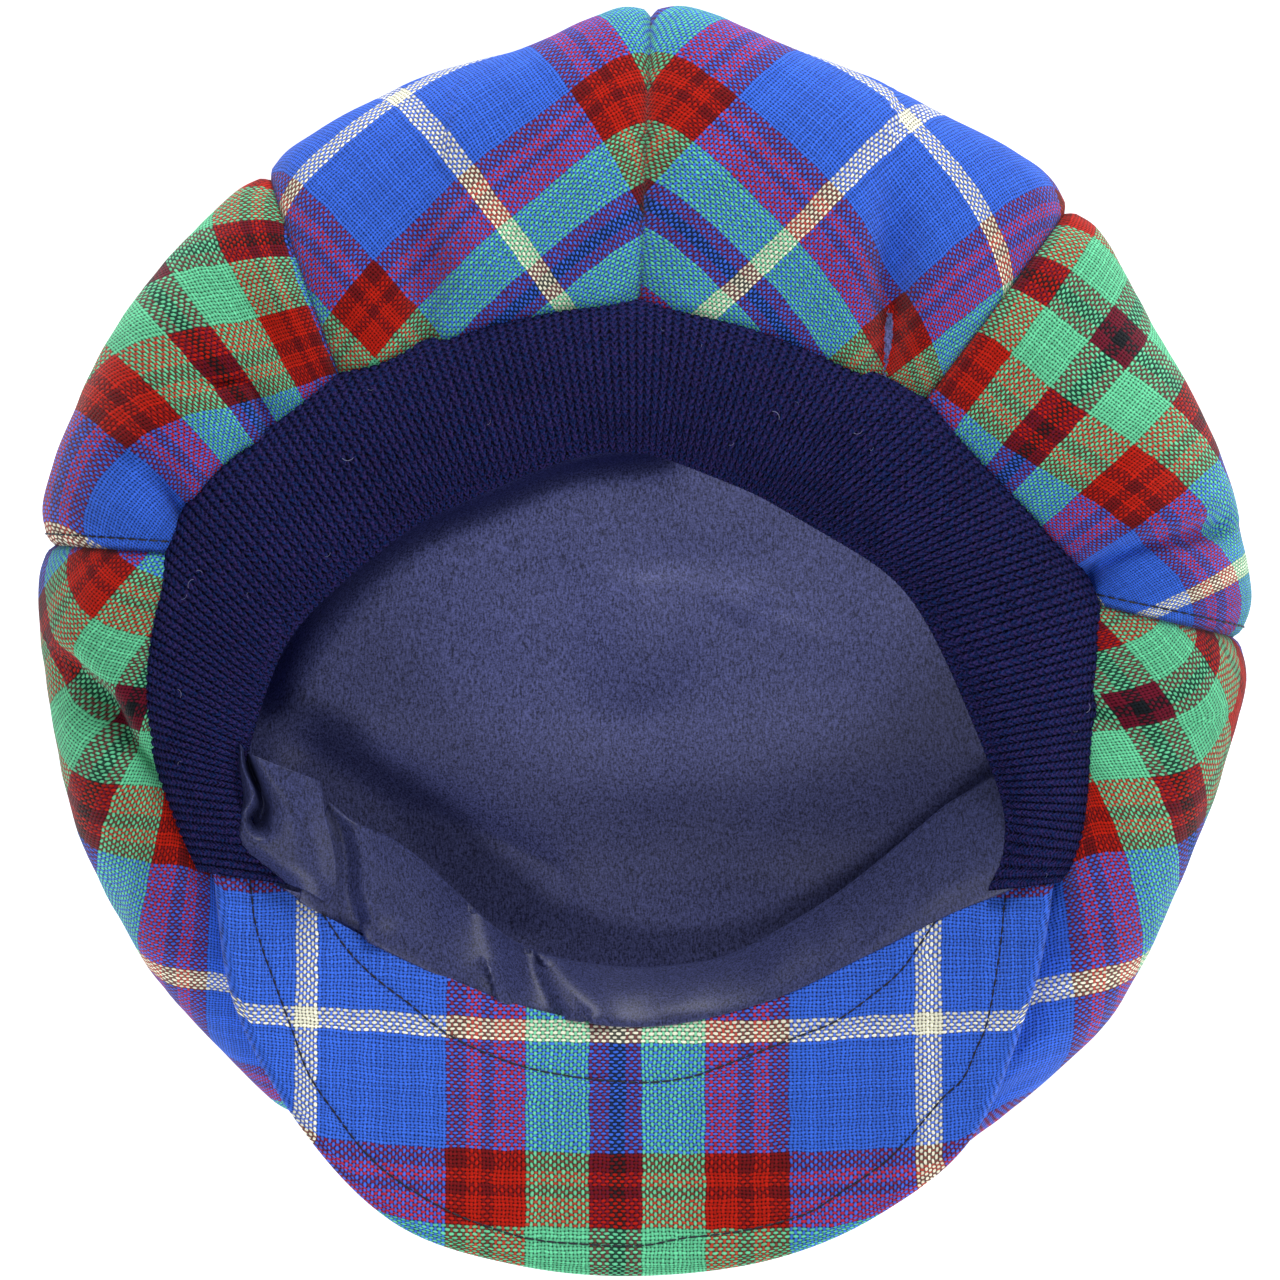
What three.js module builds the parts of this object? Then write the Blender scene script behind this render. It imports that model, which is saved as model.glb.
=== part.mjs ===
// A full, eight-panel flat cap of tartan cloth, lying upside down on its crown.
// Millimetres, +Z up. The peak points towards -Y, and the origin is on the floor, in the middle of the outline.
import * as THREE from "three";
import { mergeVertices } from "three/addons/utils/BufferGeometryUtils.js";

// Driving sizes
const PANELS = 8;
const CLOTH = 1.8; // panel cloth with its backing
const SATIN = 1; // lining
const STRIP = 1.2; // folded satin strip
const KNIT = 3; // doubled rib knit
const BOARD = 3.6; // peak: board between two layers of cloth
const SEAM_GAP = 0.4; // between neighbouring panels
const FIT_GAP = 0.5; // between other pieces that are sewn together
const ROLL = 32; // the crown leaves the floor this far inside its outline
const EYE = 1.2; // radius of the point where the panels meet under the crown
const PUFF = 2.5; // how far a panel swells between its seams
const SEAM_DIP = 1.4; // how far a seam pulls the cloth in
const SEAM_DIP_WIDTH = 6;

// Round the cap from the back seam, anticlockwise from above, three stations to a panel.
// edge: the widest outline. rim: where the cloth meets the knit band or the peak. band: the band's free edge.
// edgeZ and rimZ: their heights. turn: degrees that the cloth turns from the outline to the rim.
const STATIONS = [
  { edge: [1.5, 147], rim: [-1, 75], band: [-1, 44.5], edgeZ: 31, rimZ: 57, turn: 118 },
  { edge: [-28.5, 136], rim: [-24, 73], band: [-18.5, 42.5], edgeZ: 30, rimZ: 57, turn: 120 },
  { edge: [-59, 126], rim: [-46.5, 67], band: [-36, 35], edgeZ: 30, rimZ: 57, turn: 120 },
  { edge: [-88.4, 108.6], rim: [-69, 58.5], band: [-52, 28], edgeZ: 31, rimZ: 57, turn: 116 },
  { edge: [-114, 82.5], rim: [-82.5, 48], band: [-64, 19], edgeZ: 30, rimZ: 57, turn: 120 },
  { edge: [-130, 56], rim: [-98.5, 36], band: [-76.5, 8], edgeZ: 29, rimZ: 57, turn: 116 },
  { edge: [-139.6, 21.7], rim: [-107, 19.5], band: [-84.5, -2.5], edgeZ: 30, rimZ: 57, turn: 112 },
  { edge: [-134.5, -29], rim: [-112.5, -7], band: [-90.5, -20.5], edgeZ: 30, rimZ: 57, turn: 112 },
  { edge: [-114, -76], rim: [-108.5, -32.5], band: [-93.5, -35], edgeZ: 32, rimZ: 56, turn: 112 },
  { edge: [-79, -112.5], rim: [-95, -55], band: [-92.5, -48.5], edgeZ: 32, rimZ: 52, turn: 100 },
  { edge: [-57.5, -129], rim: [-70, -65], edgeZ: 31, rimZ: 47.5, turn: 122 },
  { edge: [-31, -138.5], rim: [-38, -81], edgeZ: 31, rimZ: 46, turn: 126 },
  { edge: [0, -142], rim: [-1, -88], edgeZ: 31, rimZ: 46, turn: 126 },
  { edge: [31, -137.5], rim: [27, -82], edgeZ: 31, rimZ: 46, turn: 126 },
  { edge: [52, -130], rim: [55.5, -69], edgeZ: 31, rimZ: 47.5, turn: 122 },
  { edge: [68.5, -121.5], rim: [86, -57], band: [81.5, -50], edgeZ: 32, rimZ: 52, turn: 100 },
  { edge: [106, -87.5], rim: [99, -44], band: [84.5, -41.5], edgeZ: 32, rimZ: 56, turn: 112 },
  { edge: [127.5, -46.5], rim: [101, -18.5], band: [78.5, -24], edgeZ: 30, rimZ: 57, turn: 112 },
  { edge: [139.4, 0], rim: [101.5, 8], band: [69, -1.5], edgeZ: 30, rimZ: 57, turn: 112 },
  { edge: [134.5, 36], rim: [90.5, 24], band: [60, 13], edgeZ: 29, rimZ: 57, turn: 120 },
  { edge: [119, 68], rim: [76.5, 39], band: [48, 21.5], edgeZ: 30, rimZ: 57, turn: 122 },
  { edge: [99.5, 100.5], rim: [63, 53], band: [36, 28.5], edgeZ: 31, rimZ: 57, turn: 116 },
  { edge: [68, 121.5], rim: [41.5, 63], band: [26, 34.5], edgeZ: 30, rimZ: 57, turn: 120 },
  { edge: [35, 135.5], rim: [21, 70.5], band: [13, 39.5], edgeZ: 30, rimZ: 57, turn: 120 },
];
const STATIONS_PER_PANEL = STATIONS.length / PANELS;
const DENT_START = 0.25; // share of the way from the outline to the rim where dents reach their full depth

// Main dents in the upper side of the crown: the middle in plan, heading in degrees, half length, half width, depth.
const DENTS = [
  { name: "crease behind, right", at: [56, 77], heading: 86, length: 13, width: 4, depth: 5 },
  { name: "pucker behind, left", at: [-49, 72], heading: 110, length: 8, width: 5, depth: 2.5 },
  { name: "tuck at the left", at: [-92, 55], heading: -25, length: 10, width: 4, depth: 3 },
  { name: "dent at the left of the rim", at: [-108, 33], heading: 120, length: 9, width: 5, depth: 3 },
  { name: "dent at the right of the rim", at: [102, 15], heading: 150, length: 8, width: 5, depth: 3 },
  { name: "valley at the right edge", at: [127, 24], heading: 15, length: 10, width: 4, depth: 2.5 },
  { name: "valley at the left edge", at: [-124, -20], heading: -50, length: 12, width: 4, depth: 2.5 },
];

// The knit band's height over the rim, from its sewn edge to its free edge.
const BAND_PROFILE = [
  { across: 0, rise: 0 },
  { across: 0.2, rise: 4 },
  { across: 0.45, rise: 6.5 },
  { across: 0.75, rise: 7 },
  { across: 1, rise: 4.5 },
];
const BAND_STATIONS = 9; // that have a free edge of the band, each side of the back seam
const BAND_END = 2.95; // panels from the back seam to each end of the band
const BAND_TAPER = 0.5; // the band lies flat at its ends and reaches its full height this many panels in

// The peak is a sheet bent round an axis that climbs towards the front.
const PEAK_PITCH = THREE.MathUtils.degToRad(20);
const PEAK_BEND = 240; // radius
const PEAK_MIDDLE = [-1, -88]; // its sewn edge in the middle
const PEAK_Z = 51.5;
const PEAK_OUTLINE = [
  { inner: [-92, -53.5], outer: [-98.5, -54] },
  { inner: [-85, -57.5], outer: [-93, -84] },
  { inner: [-72.5, -64.5], outer: [-77, -112.5] },
  { inner: [-54, -74], outer: [-56, -133.3] },
  { inner: [-29, -84.5], outer: [-29, -142.5] },
  { inner: [-1, -89], outer: [-1, -145] },
  { inner: [27, -83.5], outer: [29, -141.2] },
  { inner: [51, -72.5], outer: [54, -130.5] },
  { inner: [69, -63.5], outer: [75, -112.5] },
  { inner: [80, -59.5], outer: [88, -80] },
  { inner: [86.5, -57.5], outer: [92.5, -57] },
];

// The satin strip behind the peak: its free edge in plan and that edge's height, from left to right.
const STRIP_FREE = [
  { free: [-91.5, -26], z: 62 },
  { free: [-79, -31.5], z: 59 },
  { free: [-67.5, -42], z: 52 },
  { free: [-53, -52], z: 45 },
  { free: [-35.5, -64.5], z: 41 },
  { free: [-19.5, -74.5], z: 39 },
  { free: [-1, -76], z: 39 },
  { free: [22, -72], z: 40 },
  { free: [49.5, -55.5], z: 46 },
  { free: [69, -39], z: 54 },
  { free: [79.5, -31], z: 60 },
];
const STRIP_SINK = 1; // its sewn edge lies this far under the peak's upper face

// The lining is a slightly smaller bowl inside the crown.
const LINING_REACH = 0.72; // share of the way from the rim to the outline
const LINING_EDGE_Z = 27;
const LINING_DROP = 7.5; // its sewn edge lies this far under the rim
const LINING_INSET = 4; // and this far inside it
const LINING_TURN = 80; // degrees, as in the table of stations
const LINING_STAGES = [0, 0.5, 1, 1.35, 1.7, 2, 2.35, 2.7, 3];

// Numbers of faces
const PANEL_COLUMNS = 8;
const FLAT_ROWS = 3;
const ROLL_ROWS = 4;
const TOP_ROWS = 9;
const BAND_COLUMNS = 48;
const LINING_COLUMNS = 48;
const PEAK_COLUMNS = 30;
const PEAK_ROWS = 6;
const STRIP_COLUMNS = 30;
const STRIP_ROWS = 3;

// Materials
const fabric = (color, roughness) => new THREE.MeshStandardMaterial({ color, roughness, metalness: 0 });
const TARTAN = fabric(0x3a4fb0, 0.9);
const TARTAN_DARK = fabric(0x6a2340, 0.9);
const NAVY_KNIT = fabric(0x17144a, 0.95);
const NAVY_SATIN = fabric(0x2e3350, 0.45);

// Smooth curves through the stations
const vector = ([x, y], z = 0) => new THREE.Vector3(x, y, z);
const smooth = (points, closed) => new THREE.CatmullRomCurve3(points, closed, "catmullrom", 0.5);
const EDGE = smooth(STATIONS.map((s) => vector(s.edge, s.edgeZ)), true);
const RIM = smooth(STATIONS.map((s) => vector(s.rim, s.rimZ)), true);
const TURN = smooth(STATIONS.map((s) => vector([s.turn, 0])), true);
const around = (seat) => (((seat / PANELS) % 1) + 1) % 1;

// How deep the dents are at a place in plan
function dentDepth(x, y) {
  let depth = 0;
  for (const { at, heading, length, width, depth: most } of DENTS) {
    const a = THREE.MathUtils.degToRad(heading);
    const dx = x - at[0];
    const dy = y - at[1];
    const along = (dx * Math.cos(a) + dy * Math.sin(a)) / length;
    const across = (dy * Math.cos(a) - dx * Math.sin(a)) / width;
    depth += most * Math.exp(-along * along - across * across);
  }
  return depth;
}

// A bowl's section, from the middle of its floor, round its edge, and back in to its rim.
// stage counts 0 to 1 on the floor, 1 to 2 up to the edge, 2 to 3 in to the rim.
function bowlPoint(edge, rim, turn, roll, stage) {
  const reach = Math.hypot(edge.x, edge.y);
  const flat = (reach - roll) / reach;
  if (stage <= 1) {
    const share = (EYE / reach) * (1 - stage) + flat * stage;
    return new THREE.Vector3(edge.x * share, edge.y * share, 0);
  }
  if (stage <= 2) {
    const a = ((stage - 1) * Math.PI) / 2;
    const share = flat + (1 - flat) * Math.sin(a);
    return new THREE.Vector3(edge.x * share, edge.y * share, edge.z * (1 - Math.cos(a)));
  }
  const whole = THREE.MathUtils.degToRad(turn);
  const a = (stage - 2) * whole;
  const share = (1 - Math.cos(a)) / (1 - Math.cos(whole));
  return new THREE.Vector3(
    edge.x + (rim.x - edge.x) * share,
    edge.y + (rim.y - edge.y) * share,
    edge.z + ((rim.z - edge.z) * Math.sin(a)) / Math.sin(whole),
  );
}

// The crown's smooth form, before its puffs and dents
function crownForm(seat, stage) {
  const t = around(seat);
  return bowlPoint(EDGE.getPoint(t), RIM.getPoint(t), TURN.getPoint(t).x, ROLL, stage);
}

// How a surface, given by a function of seat and stage, turns with each: round it, and along its section
function slopes(form, seat, stage) {
  const d = 0.01;
  const low = Math.max(stage - d, 0);
  const high = Math.min(stage + d, 3);
  const round = form(seat + d, stage).sub(form(seat - d, stage)).divideScalar(2 * d);
  const along = form(seat, high).sub(form(seat, low)).divideScalar(high - low);
  return { round, along };
}

// Its outward direction
function outward(form, seat, stage) {
  const { round, along } = slopes(form, seat, stage);
  return round.cross(along).normalize();
}

// The part of a panel's width, at a seam, that leaves half the gap square to the seam
function seamInset(seam, stage) {
  const { round, along } = slopes(crownForm, seam, stage);
  return SEAM_GAP / 2 / round.cross(along.normalize()).length();
}

// A point of the crown's cloth, a distance under its outer face
function crownPoint(seat, stage, under) {
  const point = crownForm(seat, stage);
  const out = outward(crownForm, seat, stage);
  const upper = Math.max(0, stage - 2);
  const swell = Math.sin(Math.PI * upper) * Math.sin(Math.PI * (seat - Math.floor(seat)));
  const fromSeam = crownForm(Math.round(seat), stage).distanceTo(point);
  const seam = THREE.MathUtils.smoothstep(stage, 1, 2) * Math.exp(-((fromSeam / SEAM_DIP_WIDTH) ** 2));
  const dent = Math.min(1, upper / DENT_START) * dentDepth(point.x, point.y);
  return point.addScaledVector(out, PUFF * swell - SEAM_DIP * seam - dent - under);
}

// Triangles of a closed wall between two grids of points, outer and inner, that face away from each other.
// wrap: the last column is the first one again.
function wall(outer, inner, wrap = false) {
  const triangles = [];
  const quad = (a, b, c, d) => triangles.push(a, b, c, a, c, d);
  const columns = outer.length - 1;
  const rows = outer[0].length - 1;
  for (let i = 0; i < columns; i++) {
    for (let j = 0; j < rows; j++) {
      quad(outer[i][j], outer[i + 1][j], outer[i + 1][j + 1], outer[i][j + 1]);
      quad(inner[i][j], inner[i][j + 1], inner[i + 1][j + 1], inner[i + 1][j]);
    }
    quad(outer[i + 1][0], outer[i][0], inner[i][0], inner[i + 1][0]);
    quad(outer[i][rows], outer[i + 1][rows], inner[i + 1][rows], inner[i][rows]);
  }
  for (let j = 0; j < rows && !wrap; j++) {
    quad(outer[0][j], outer[0][j + 1], inner[0][j + 1], inner[0][j]);
    quad(outer[columns][j + 1], outer[columns][j], inner[columns][j], inner[columns][j + 1]);
  }
  return triangles;
}

// A mesh of one closed body from its triangles, without those that have shrunk to nothing
function body(name, triangles, material) {
  const loose = new THREE.BufferGeometry().setFromPoints(triangles);
  const geometry = mergeVertices(loose, 1e-4);
  const kept = [];
  const index = geometry.index.array;
  for (let i = 0; i < index.length; i += 3) {
    const [a, b, c] = [index[i], index[i + 1], index[i + 2]];
    if (a !== b && b !== c && c !== a) kept.push(a, b, c);
  }
  geometry.setIndex(kept);
  geometry.computeVertexNormals();
  const mesh = new THREE.Mesh(geometry, material);
  mesh.name = name;
  return mesh;
}

const steps = (count) => Array.from({ length: count + 1 }, (_, i) => i / count);

// Stages of a section's points: few on the floor, more round the roll and over the top
const CROWN_STAGES = [
  ...steps(FLAT_ROWS),
  ...steps(ROLL_ROWS).slice(1).map((s) => 1 + s),
  ...steps(TOP_ROWS).slice(1).map((s) => 2 + s),
];

// One crown panel, between two seams
function crownPanel(number) {
  const grid = (under) =>
    steps(PANEL_COLUMNS).map((share) =>
      CROWN_STAGES.map((stage) => {
        const first = number + seamInset(number, stage);
        const last = number + 1 - seamInset(number + 1, stage);
        return crownPoint(first + share * (last - first), stage, under);
      }),
    );
  const material = number % 2 ? TARTAN_DARK : TARTAN;
  return body("crown_panel_" + (number + 1), wall(grid(0), grid(CLOTH)), material);
}

// The knit band, from the right end of the peak, round the back, to its left end
function knitBand() {
  const behind = [...STATIONS.slice(-BAND_STATIONS), ...STATIONS.slice(0, BAND_STATIONS + 1)];
  const free = smooth(behind.map((s) => vector(s.band, s.rimZ)), false);
  const freeEnd = BAND_STATIONS / STATIONS_PER_PANEL;
  const seats = steps(BAND_COLUMNS).map((share) => (2 * share - 1) * BAND_END);
  const grid = (under) =>
    seats.map((seat) => {
      const rim = RIM.getPoint(around(seat));
      const end = free.getPoint((seat / freeEnd + 1) / 2);
      const fromEnd = BAND_END - Math.abs(seat);
      const height = THREE.MathUtils.smoothstep(fromEnd, 0, BAND_TAPER);
      const start = FIT_GAP / rim.distanceTo(end);
      return BAND_PROFILE.map(({ across, rise }) => {
        const point = rim.clone().lerp(end, start + across * (1 - start));
        point.z += rise * height - under;
        return point;
      });
    });
  return body("knit_band", wall(grid(0), grid(KNIT)), NAVY_KNIT);
}

// The lining's smooth form
function liningForm(seat, stage) {
  const t = around(seat);
  const outline = EDGE.getPoint(t);
  const rim = RIM.getPoint(t);
  const edge = rim.clone().lerp(outline, LINING_REACH).setZ(LINING_EDGE_Z);
  const shrink = 1 - LINING_INSET / Math.hypot(rim.x, rim.y);
  const sewn = new THREE.Vector3(rim.x * shrink, rim.y * shrink, rim.z - LINING_DROP);
  return bowlPoint(edge, sewn, LINING_TURN, ROLL, stage);
}

// The lining, a bowl that lies just above the crown's cloth
function lining() {
  const lift = CLOTH + FIT_GAP;
  const grid = (under) =>
    steps(LINING_COLUMNS).map((share) =>
      LINING_STAGES.map((stage) => {
        const seat = share * PANELS;
        const point = stage ? liningForm(seat, stage) : new THREE.Vector3();
        const out = stage ? outward(liningForm, seat, stage) : new THREE.Vector3(0, 0, -1);
        point.addScaledVector(out, -under);
        point.z += lift;
        return point;
      }),
    );
  return body("lining", wall(grid(0), grid(SATIN), true), NAVY_SATIN);
}

// A point of the peak's sheet over a place in plan, a distance under its upper face. The place is the one
// that the middle of the sheet's thickness covers.
function peakPoint(x, y, under) {
  const sine = Math.sin(PEAK_PITCH);
  const cosine = Math.cos(PEAK_PITCH);
  const a = Math.asin((x - PEAK_MIDDLE[0]) / PEAK_BEND);
  const bow = PEAK_BEND * (1 - Math.cos(a));
  const forward = (PEAK_MIDDLE[1] + bow * sine - y) / cosine;
  const z = PEAK_Z + forward * sine + bow * cosine;
  const aside = under - BOARD / 2;
  return new THREE.Vector3(
    x + aside * Math.sin(a),
    y - aside * Math.cos(a) * sine,
    z - under * Math.cos(a) * cosine,
  );
}

// The edges of the peak in plan, from left to right
const PEAK_INNER = smooth(PEAK_OUTLINE.map((s) => vector(s.inner)), false);
const PEAK_OUTER = smooth(PEAK_OUTLINE.map((s) => vector(s.outer)), false);

// The peak
function peak() {
  const grid = (under) =>
    steps(PEAK_COLUMNS).map((share) =>
      steps(PEAK_ROWS).map((inwards) => {
        const plan = PEAK_OUTER.getPoint(share).lerp(PEAK_INNER.getPoint(share), inwards);
        return peakPoint(plan.x, plan.y, under);
      }),
    );
  return body("peak", wall(grid(0), grid(BOARD)), TARTAN);
}

// The satin strip, from the peak's inner edge to its own free edge
function satinStrip() {
  const free = smooth(STRIP_FREE.map((s) => vector(s.free, s.z)), false);
  const grid = (under) =>
    steps(STRIP_COLUMNS).map((share) => {
      const plan = PEAK_INNER.getPoint(share);
      const sewn = peakPoint(plan.x, plan.y, STRIP_SINK);
      const end = free.getPoint(share);
      sewn.lerp(end, (FIT_GAP + BOARD / 2 * Math.sin(PEAK_PITCH)) / sewn.distanceTo(end));
      return steps(STRIP_ROWS).map((across) => {
        const point = sewn.clone().lerp(end, across);
        point.z -= under;
        return point;
      });
    });
  return body("front_satin_strip", wall(grid(0), grid(STRIP)), NAVY_SATIN);
}

const cap = new THREE.Group();
for (let number = 0; number < PANELS; number++) cap.add(crownPanel(number));
cap.add(knitBand());
cap.add(lining());
cap.add(peak());
cap.add(satinStrip());

export default cap;
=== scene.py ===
"""Dresses a full, eight-panel flat cap of tartan cloth, which lies upside down on its crown.

Sizes are in millimetres and become metres where a mesh is made. +Z is up and the peak points towards -Y.
"""

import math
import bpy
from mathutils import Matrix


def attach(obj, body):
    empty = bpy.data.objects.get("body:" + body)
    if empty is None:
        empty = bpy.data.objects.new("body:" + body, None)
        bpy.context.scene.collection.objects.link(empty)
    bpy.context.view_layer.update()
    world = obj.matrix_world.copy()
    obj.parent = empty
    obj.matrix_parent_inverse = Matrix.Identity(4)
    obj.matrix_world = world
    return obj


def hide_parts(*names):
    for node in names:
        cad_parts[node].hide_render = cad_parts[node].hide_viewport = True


bl_info = {
    "name": "Panelled Cap",
    "version": (1, 0, 0),
    "blender": (4, 5, 0),
    "location": "View3D > Sidebar > Cap",
    "description": "Makes the cloth, knit, satin and stitching of a full flat cap",
    "category": "Add Mesh",
}

import bpy
import numpy as np
from mathutils import Vector, noise

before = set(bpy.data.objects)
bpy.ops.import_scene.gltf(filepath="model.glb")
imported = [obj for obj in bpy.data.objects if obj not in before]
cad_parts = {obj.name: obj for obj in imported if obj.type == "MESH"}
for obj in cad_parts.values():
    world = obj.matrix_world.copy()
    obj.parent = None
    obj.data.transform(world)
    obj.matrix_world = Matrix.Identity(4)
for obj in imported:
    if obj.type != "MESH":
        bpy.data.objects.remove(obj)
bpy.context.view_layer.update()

MM = 0.001

# The crown, with the solids' sizes but a smaller eye and deeper seams
PANELS = 8
CLOTH = 1.8
ROLL = 32  # the crown leaves the floor this far inside its outline
EYE = 0.05  # radius of the point where the panels meet under the crown
PUFF = 2.5  # how far a panel swells between its seams
SLACK = 0.89  # share of the solids' turn from the outline to the rim
SEAM_DIP = 2  # how far a seam pulls the cloth in
SEAM_DIP_WIDTH = 5
GROOVE = 0.35  # narrow groove along a seam, where it lies on the floor
GROOVE_MORE = 1.35  # how much deeper it is above the floor
GROOVE_WIDTH = 0.95
LIP = 1.1  # how far the cloth is pulled in along the rim
LIP_WIDTH = 1.2
LOOSE_STAGES = (1, 1.8)  # places in the section between which the cloth gets loose
LOOSE_WIDTH = 12  # distance from a seam where it is fully loose
GATHERED_STAGES = (2.2, 2.9)  # places between which small folds get deeper towards the rim
GATHERED = 0.4  # share of their height before that
CROWN_STEPS = (14, 26, 72)  # mesh rows on the floor, up to the outline and in to the rim
CROWN_COLUMNS = 73
CROWN_CROWDING = 0.06

# Smooth humps of loose cloth, broad ones first: height, size and seed
CROWN_HUMPS = [(1.2, 38, 3.1), (0.8, 15, 7.7), (0.2, 6, 1.3)]
BAND_HUMPS = [(0.7, 26, 5.5)]
PEAK_HUMPS = [(0.042, 22, 4.4), (0.0168, 8, 6.6)]
LINING_HUMPS = [(1.6, 45, 9.2), (0.5, 18, 2.4)]
STRIP_HUMPS = [(0.6, 16, 8.1), (0.3, 7, 2.2)]

# edge, rim, edge's height, rim's height, turn in degrees. Three rows to a panel, anticlockwise from behind.
STATIONS = [
    ((1.5, 147), (-1, 75), 31, 57, 118),
    ((-28.5, 136), (-24, 73), 30, 57, 120),
    ((-59, 126), (-46.5, 67), 30, 57, 120),
    ((-88.4, 108.6), (-69, 58.5), 31, 57, 116),
    ((-114, 82.5), (-82.5, 48), 30, 57, 120),
    ((-130, 56), (-98.5, 36), 29, 57, 116),
    ((-139.6, 21.7), (-107, 19.5), 30, 57, 112),
    ((-134.5, -29), (-112.5, -7), 30, 57, 112),
    ((-114, -76), (-108.5, -32.5), 32, 56, 112),
    ((-79, -112.5), (-95, -55), 32, 52, 100),
    ((-57.5, -129), (-70, -65), 31, 47.5, 122),
    ((-31, -138.5), (-38, -81), 31, 46, 126),
    ((0, -142), (-1, -88), 31, 46, 126),
    ((31, -137.5), (27, -82), 31, 46, 126),
    ((52, -130), (55.5, -69), 31, 47.5, 122),
    ((68.5, -121.5), (86, -57), 32, 52, 100),
    ((106, -87.5), (99, -44), 32, 56, 112),
    ((127.5, -46.5), (101, -18.5), 30, 57, 112),
    ((139.4, 0), (101.5, 8), 30, 57, 112),
    ((134.5, 36), (90.5, 24), 29, 57, 120),
    ((119, 68), (76.5, 39), 30, 57, 122),
    ((99.5, 100.5), (63, 53), 31, 57, 116),
    ((68, 121.5), (41.5, 63), 30, 57, 120),
    ((35, 135.5), (21, 70.5), 30, 57, 120),
]

# Broad dents: middle in plan, heading in degrees, half length, half width, depth
DENTS = [
    ((56.5, 80), 88, 18, 5, 7),
    ((-49.5, 82), 96, 14, 5, 4),
    ((-86, 69), -60, 13, 6, 4),
    ((-92, 55), -25, 10, 4, 3),
    ((-108, 33), 120, 9, 5, 3),
    ((102, 15), 150, 8, 5, 3),
    ((127, 24), 15, 10, 4, 2.5),
    ((-125, -16), -45, 15, 6, 6),
    ((-120, -55), 70, 18, 7, 3),
    ((82, -108), 50, 14, 6, 3),
]
DENT_START = 0.25  # share of the way from the outline to the rim where dents reach their full depth

# Sharp creases: path in plan, half widths and depths at its two ends, lift of the cloth on its left
CREASES = [
    ([(53.5, 55), (55.5, 68), (57, 80), (57, 94), (57, 108)], (2, 6), (5, 1.6), 0.8),
    ([(-98, 58), (-93.4, 59.3), (-89.8, 58), (-87.4, 53.5), (-85.5, 46)], (1.6, 1.6), (2.2, 2.8), -0.8),
    ([(-114.5, 40), (-110.7, 37.4), (-107.7, 34), (-105, 28)], (2.5, 1.8), (1.2, 3.2), 0.5),
    ([(99, 11), (104.3, 17.6), (109.3, 20.3), (114.4, 22), (122, 23.1), (132, 25.5)],
     (1.8, 2.6), (3.6, 3), 1),
    ([(-133, -6), (-125.2, -15.5), (-119.4, -22.9), (-112.5, -28.5)], (3, 2.4), (3, 4), 0.8),
    ([(-49.5, 66), (-50.5, 78), (-49.5, 90), (-47, 104)], (2, 6), (3.4, 1.4), -0.9),
    ([(100, -14), (108, -19), (116, -21), (124, -19)], (2, 3), (2.4, 1.2), 0.6),
    ([(94, -50), (96, -62), (92, -76), (88, -88)], (2.4, 3.4), (2.2, 1.4), 0.4),
]
CREASE_POINTS = 25

# How the tartan lies on each panel, in a row for each of its two sets of threads. First the place in the
# pattern at the middle of the panel's outline, then the millimetres of pattern to a millimetre across and
# along the panel, and then how far a line strays 50 mm away, with across and along taken in twos and then
# in threes.
TARTAN_LAY = [
    (
        (-5, -0.37, 0.99, -3.5, -3.4, -0.6, 2.8, -3.2, -4.4, 1),
        (-16.9, 0.94, 0.35, -2.2, 4.2, 6, 2.1, -0.9, 1.3, -0.6),
    ),
    (
        (88.2, 1.13, 0.02, 4.6, 8.9, -0.4, -7.9, -6.1, 12.6, -5.1),
        (81.6, 0.53, 0.39, -13.5, -2.1, 14.3, -2.7, -9.4, 0.6, 0.5),
    ),
    (
        (124.9, 0.93, -0.89, 6.5, 4.8, -4.1, -1.8, 14.3, 5, -0.9),
        (75.3, 0.63, 0.1, 1.1, 2.7, -0.5, 2.1, -0.2, 4.8, 1.8),
    ),
    ((40, 0.71, 0.71, 0, 0, 0, 0, 0, 0, 0), (10, -0.71, 0.71, 0, 0, 0, 0, 0, 0, 0)),
    ((40, -0.71, 0.71, 0, 0, 0, 0, 0, 0, 0), (10, 0.71, 0.71, 0, 0, 0, 0, 0, 0, 0)),
    (
        (141.1, -0.96, -0.8, 1.5, -5.2, -3.5, 11.1, 11, -3.9, -4),
        (81.1, -0.63, 0.33, -1.2, -3, -1.6, -2.7, -0.5, -3.5, -2.6),
    ),
    (
        (63.6, -0.39, 0.72, -4.2, -2.9, 3.8, 0, -5.8, -0.5, 4.1),
        (101, -0.99, -0.27, 4.3, -6.4, -2.6, -6.1, 12.9, -7.7, -0.9),
    ),
    (
        (-9.3, 0.45, 1.01, -7.3, 2.4, 1.4, 1, -8.4, 4.6, 0.4),
        (-17.1, -0.94, 0.36, -3, -2.8, 1.7, -1.3, 4.6, -1.8, 1.3),
    ),
]
LAY_REACH = 50

# The pattern from the middle of a white stripe to the middle of the next dark one, where it turns back
SETT = [
    (0, "white"),
    (2.9, "blue"),
    (32.3, "dark_red"),
    (36.9, "red"),
    (40.1, "dark_red"),
    (43.3, "red"),
    (50.7, "green"),
    (64.95, "maroon"),
    (69.1, "black"),
]
HALF_SETT = 71.05

# The weave, the knit and the satin
THREAD_SWAY = 1.6  # how far threads stray from straight lines
SWAY_SIZE = 6.25  # length over which they do
THREAD_DIP = 0.32  # share of a thread's height that it dips under its neighbours
SHOW_THROUGH = 0.08  # share of its colour that a thread underneath gives
KNIT_ROW = 1.6  # height of a knitted stitch
GRAIN_TURN = math.radians(28)

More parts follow.
